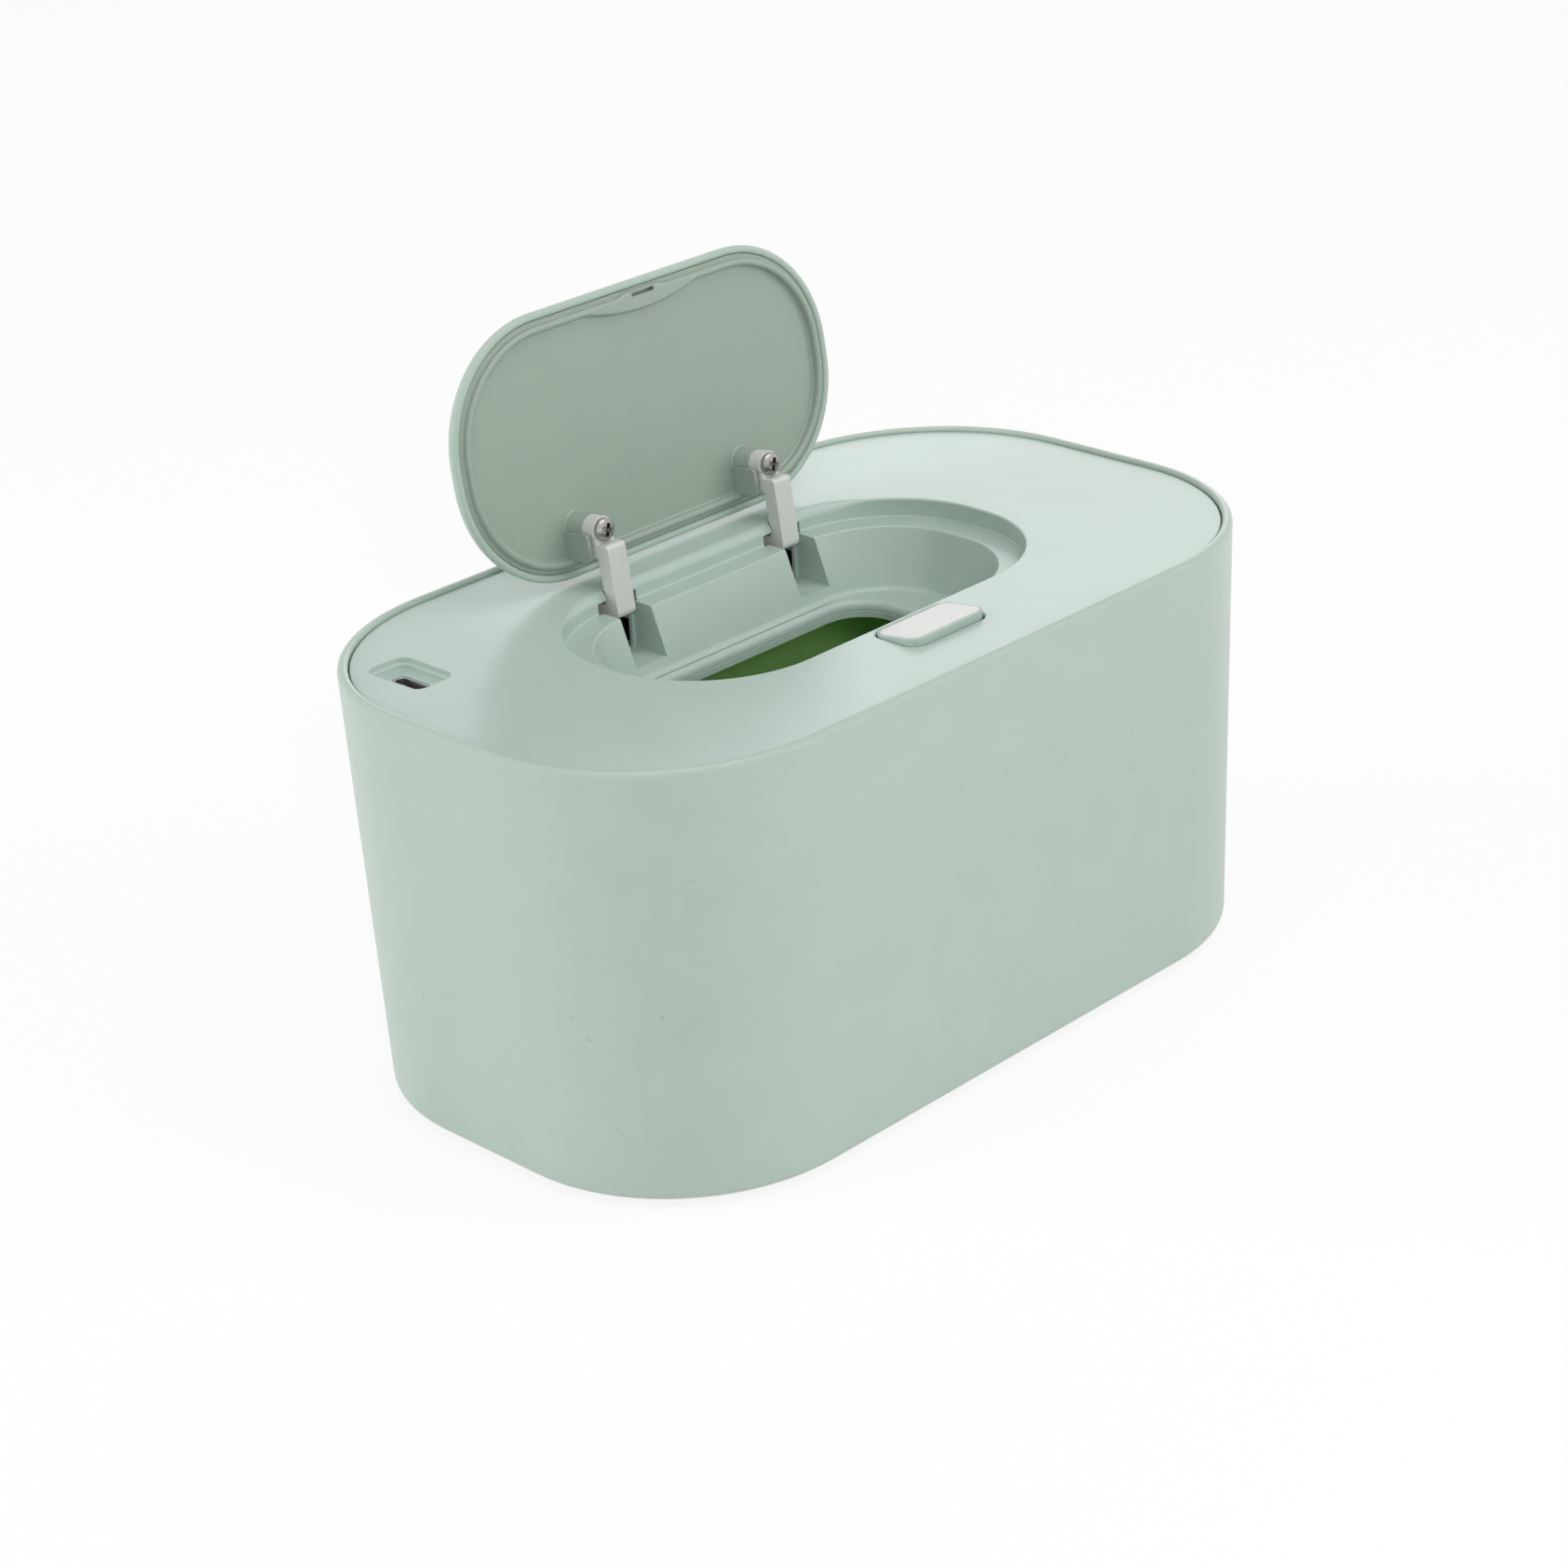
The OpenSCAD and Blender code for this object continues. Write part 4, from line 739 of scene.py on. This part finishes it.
button_cap = piece_of("button_cap_skin", sloping_body([
    (0.5, 94.7, 0, 0), (1.8, 94.7, 0, 0), (1.8, 89.6, 0, 0), (cap_out, 89.6, 0, 0), (cap_out, 94.0, 0, 0),
    (cap_out, panel_z, 1, 0.3), (tray_out, panel_z, 1, 0.06), (tray_out, tray_z, 1, 0.0), (0.5, tray_z, 1, 0)]))
combine(button_cap, "DIFFERENCE", block((-20, -34.3, 88.0), (20, -25.0, 91.3)))
soften(button_cap, 0.12)
place_on(button_cap, "button", ["button_cap"], cover_plastic)

button_inlay = piece_of("button_inlay_plate", sloping_body([
    (0.5, panel_z + 0.05, 1, 0), (inlay_out, panel_z + 0.02, 1, 0.2), (inlay_out, tray_z, 1, 0),
    (0.5, tray_z, 1, 0)]))
soften(button_inlay, 0)
place_on(button_inlay, "button", ["button_inlay"], inlay_plastic)

# %% [markdown]
# The button's return spring is a round wire carried along a helix. It could keep its CAD mesh like the other
# hidden pieces, but it is made as a piece of its own, with a mesh of its own: it is 8.1 mm long and gives up the
# button's 1.5 mm.

# %% Button spring
coil_r, wire_r, coil_turns, seat_low_z, coil_length, press_travel = 2.2, 0.25, 6, 86.6, 8.1, 1.5
spring_y = button_y - 1.025


def helix_wire(steps=24, sides=10):
    """Wire round a helix: centre (r cos a, r sin a, rising with a), ring = centre + wire_r (cos b out + sin b up)."""
    a = np.linspace(0, 2 * np.pi * coil_turns, steps * coil_turns + 1)[:, None, None]
    b = np.linspace(0, 2 * np.pi, sides, endpoint=False)[None, :, None]
    out = np.concatenate([np.cos(a), np.sin(a), np.zeros_like(a)], axis=2)
    up = np.array([0.0, 0.0, 1.0])
    rise = wire_r + (coil_length - 2 * wire_r) * a / (2 * np.pi * coil_turns)
    middle = np.array([0.0, spring_y, seat_low_z]) + coil_r * out + rise * up
    return body_of_grid(middle + wire_r * (np.cos(b) * out + np.sin(b) * up))


button_coil = piece_of("button_spring_wire", helix_wire())
soften(button_coil, 0)
place_on(button_coil, "cover", ["button_spring"], spring_steel)
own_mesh(button_coil)

# %% [markdown]
# The power inlet is a standard reversible socket: a thin metal shell with round ends and a grey tongue inside.
# The real shell is formed from metal strip. Here a section with both its sides and its floor is
# carried round the socket's plan, which gives the same thin cup, and the tongue is a softened block.

# %% Power inlet
usb_shell = piece_of("usb_shell_cup", plan_body((port_x, port_y), plug_reach, [
    (0.25, 85.7, 0), (1.3, 85.7, 0.2), (1.3, 93.7, 0.1), (1.0, 93.7, 0.1), (1.0, 86.0, 0), (0.25, 86.0, 0)]))
soften(usb_shell, 0)
place_on(usb_shell, "cover", ["usb_shell"], pin_steel)
usb_tongue = piece_of("usb_tongue_blade",
                      block((port_x - 0.35, port_y - 3.3, 86.0), (port_x + 0.35, port_y + 3.3, 92.7)))
soften(usb_tongue, 0.12)
place_on(usb_tongue, "cover", ["usb_tongue"], grey_plastic)

# %% [markdown]
# The pieces inside the cover keep their CAD meshes and only get their finishes. They show through a gap or with
# the cover lifted, if at all, so finer surfaces would add faces that nobody sees.

# %% Finishes of the hidden pieces
hidden_finishes = {
    "cover_gasket": gasket_rubber, "bottom_cover": cover_plastic, "cover_screws": plated_steel,
    "heating_plate": heater_aluminium, "heating_film": film_plastic, "insulation_pad": foam,
    "thermostat": dark_plastic, "circuit_board": board_lacquer, "heater_leads": lead_sleeve,
    "hinge_pin_left": pin_steel, "hinge_pin_right": pin_steel, "hinge_spring_left": spring_steel,
    "hinge_spring_right": spring_steel, "latch": latch_plastic}
for node, material in hidden_finishes.items():
    piece = frame["nodes"][node]
    piece.data.materials.clear()
    piece.data.materials.append(material)
print("hidden pieces:", len(hidden_finishes))

# %% [markdown]
# A studio table, white to the camera. Light Path decides what the camera sees: mostly a plain white with a
# little of the real shading, so that a soft shadow stays. The world is white to the camera and to
# reflections, and lights the object softly from all sides. Large lamps give the shapes their direction.
# Only the two lamps above and behind show in glossy surfaces, where the photograph has its soft reflections.

# %% Table, world and lamps
def seen_plainly(tree):
    """One for rays of the camera, of reflections and of transmission, zero for those that carry light."""
    path = node_in(tree, "ShaderNodeLightPath")
    return math_in(tree, "MAXIMUM", path.outputs["Is Camera Ray"],
                   math_in(tree, "MAXIMUM", path.outputs["Is Glossy Ray"], path.outputs["Is Transmission Ray"]))


def studio_floor(half=4000, plain_share=0.85):
    """Flat square of 8 m. To the camera it is 85 parts in a hundred plain white and the rest shaded white."""
    floor = piece_of("floor", block((-half, -half, -20), (half, half, 0)))
    material = bpy.data.materials.new("floor_white")
    material.use_nodes = True
    tree = material.node_tree
    tree.nodes.remove(tree.nodes["Principled BSDF"])
    paper = node_in(tree, "ShaderNodeBsdfDiffuse", {"Color": (0.93, 0.93, 0.93, 1)})
    white = node_in(tree, "ShaderNodeEmission", {"Color": (1, 1, 1, 1), "Strength": 1.0})
    share = math_in(tree, "MULTIPLY", seen_plainly(tree), plain_share)
    both = node_in(tree, "ShaderNodeMixShader", {0: share, 1: paper.outputs[0], 2: white.outputs[0]})
    tree.links.new(both.outputs[0], tree.nodes["Material Output"].inputs["Surface"])
    floor.data.materials.append(material)


def studio_world(strength):
    """White to camera and reflections, a soft grey of the given strength as light."""
    world = bpy.data.worlds.new("studio")
    world.use_nodes = True
    tree = world.node_tree
    tree.nodes.clear()
    light = node_in(tree, "ShaderNodeBackground", {"Color": (1, 1, 1, 1), "Strength": strength})
    shown = node_in(tree, "ShaderNodeBackground", {"Color": (1, 1, 1, 1), "Strength": 1.0})
    both = node_in(tree, "ShaderNodeMixShader", {0: seen_plainly(tree), 1: light.outputs[0], 2: shown.outputs[0]})
    tree.links.new(both.outputs[0], node_in(tree, "ShaderNodeOutputWorld").inputs["Surface"])
    bpy.context.scene.world = world


def lamp(name, place, target, size, power, mirrored=False):
    """Square area lamp in metres that looks at a target. Only a mirrored one shows in glossy surfaces: the
    others would whiten the flat cover from the side that faces them."""
    data = bpy.data.lights.new(name, "AREA")
    data.shape, data.size, data.energy = "SQUARE", size, power
    light = bpy.data.objects.new(name, data)
    bpy.context.scene.collection.objects.link(light)
    light.matrix_world = (Matrix.Translation(place)
                          @ (Vector(target) - Vector(place)).to_track_quat("-Z", "Y").to_matrix().to_4x4())
    light.visible_glossy = mirrored


studio_floor()
studio_world(0.40)
middle = (0, 0, 0.06)
lamp("soft_front", (-1.072, -1.375, 0.892), (0.045, 0.055, 0.05), 0.25, 8.5)
lamp("soft_right", (0.9, -1.35, 0.7), middle, 1.1, 9.2)
lamp("soft_left", (-1.3, 1.0, 0.5), middle, 1.0, 13)
lamp("soft_top", (0.1, -0.3, 1.7), middle, 1.4, 9.5, mirrored=True)
lamp("soft_back", (1.75, 1.35, 0.7), middle, 1.1, 5, mirrored=True)
bpy.context.scene.view_settings.view_transform = "Standard"

# %% [markdown]
# The camera is the one that a perspective fit of the tub's outline in the photograph gives: a long lens,
# 82 cm away, looking down at about 25 degrees on the left front corner.

# %% Camera
camera_data = bpy.data.cameras.new("camera")
camera_data.lens, camera_data.sensor_width = 84.907, 36.0
camera = bpy.data.objects.new("camera", camera_data)
bpy.context.scene.collection.objects.link(camera)
right, up, ahead = (Vector(v).normalized() for v in (
    (0.6997, -0.7122, -0.0556), (0.3326, 0.2560, 0.9076), (0.6322, 0.6536, -0.4160)))
looking = Matrix((right, up, -ahead)).transposed().to_4x4()
camera.matrix_world = Matrix.Translation((-0.5112, -0.5203, 0.38355)) @ looking
bpy.context.scene.camera = camera
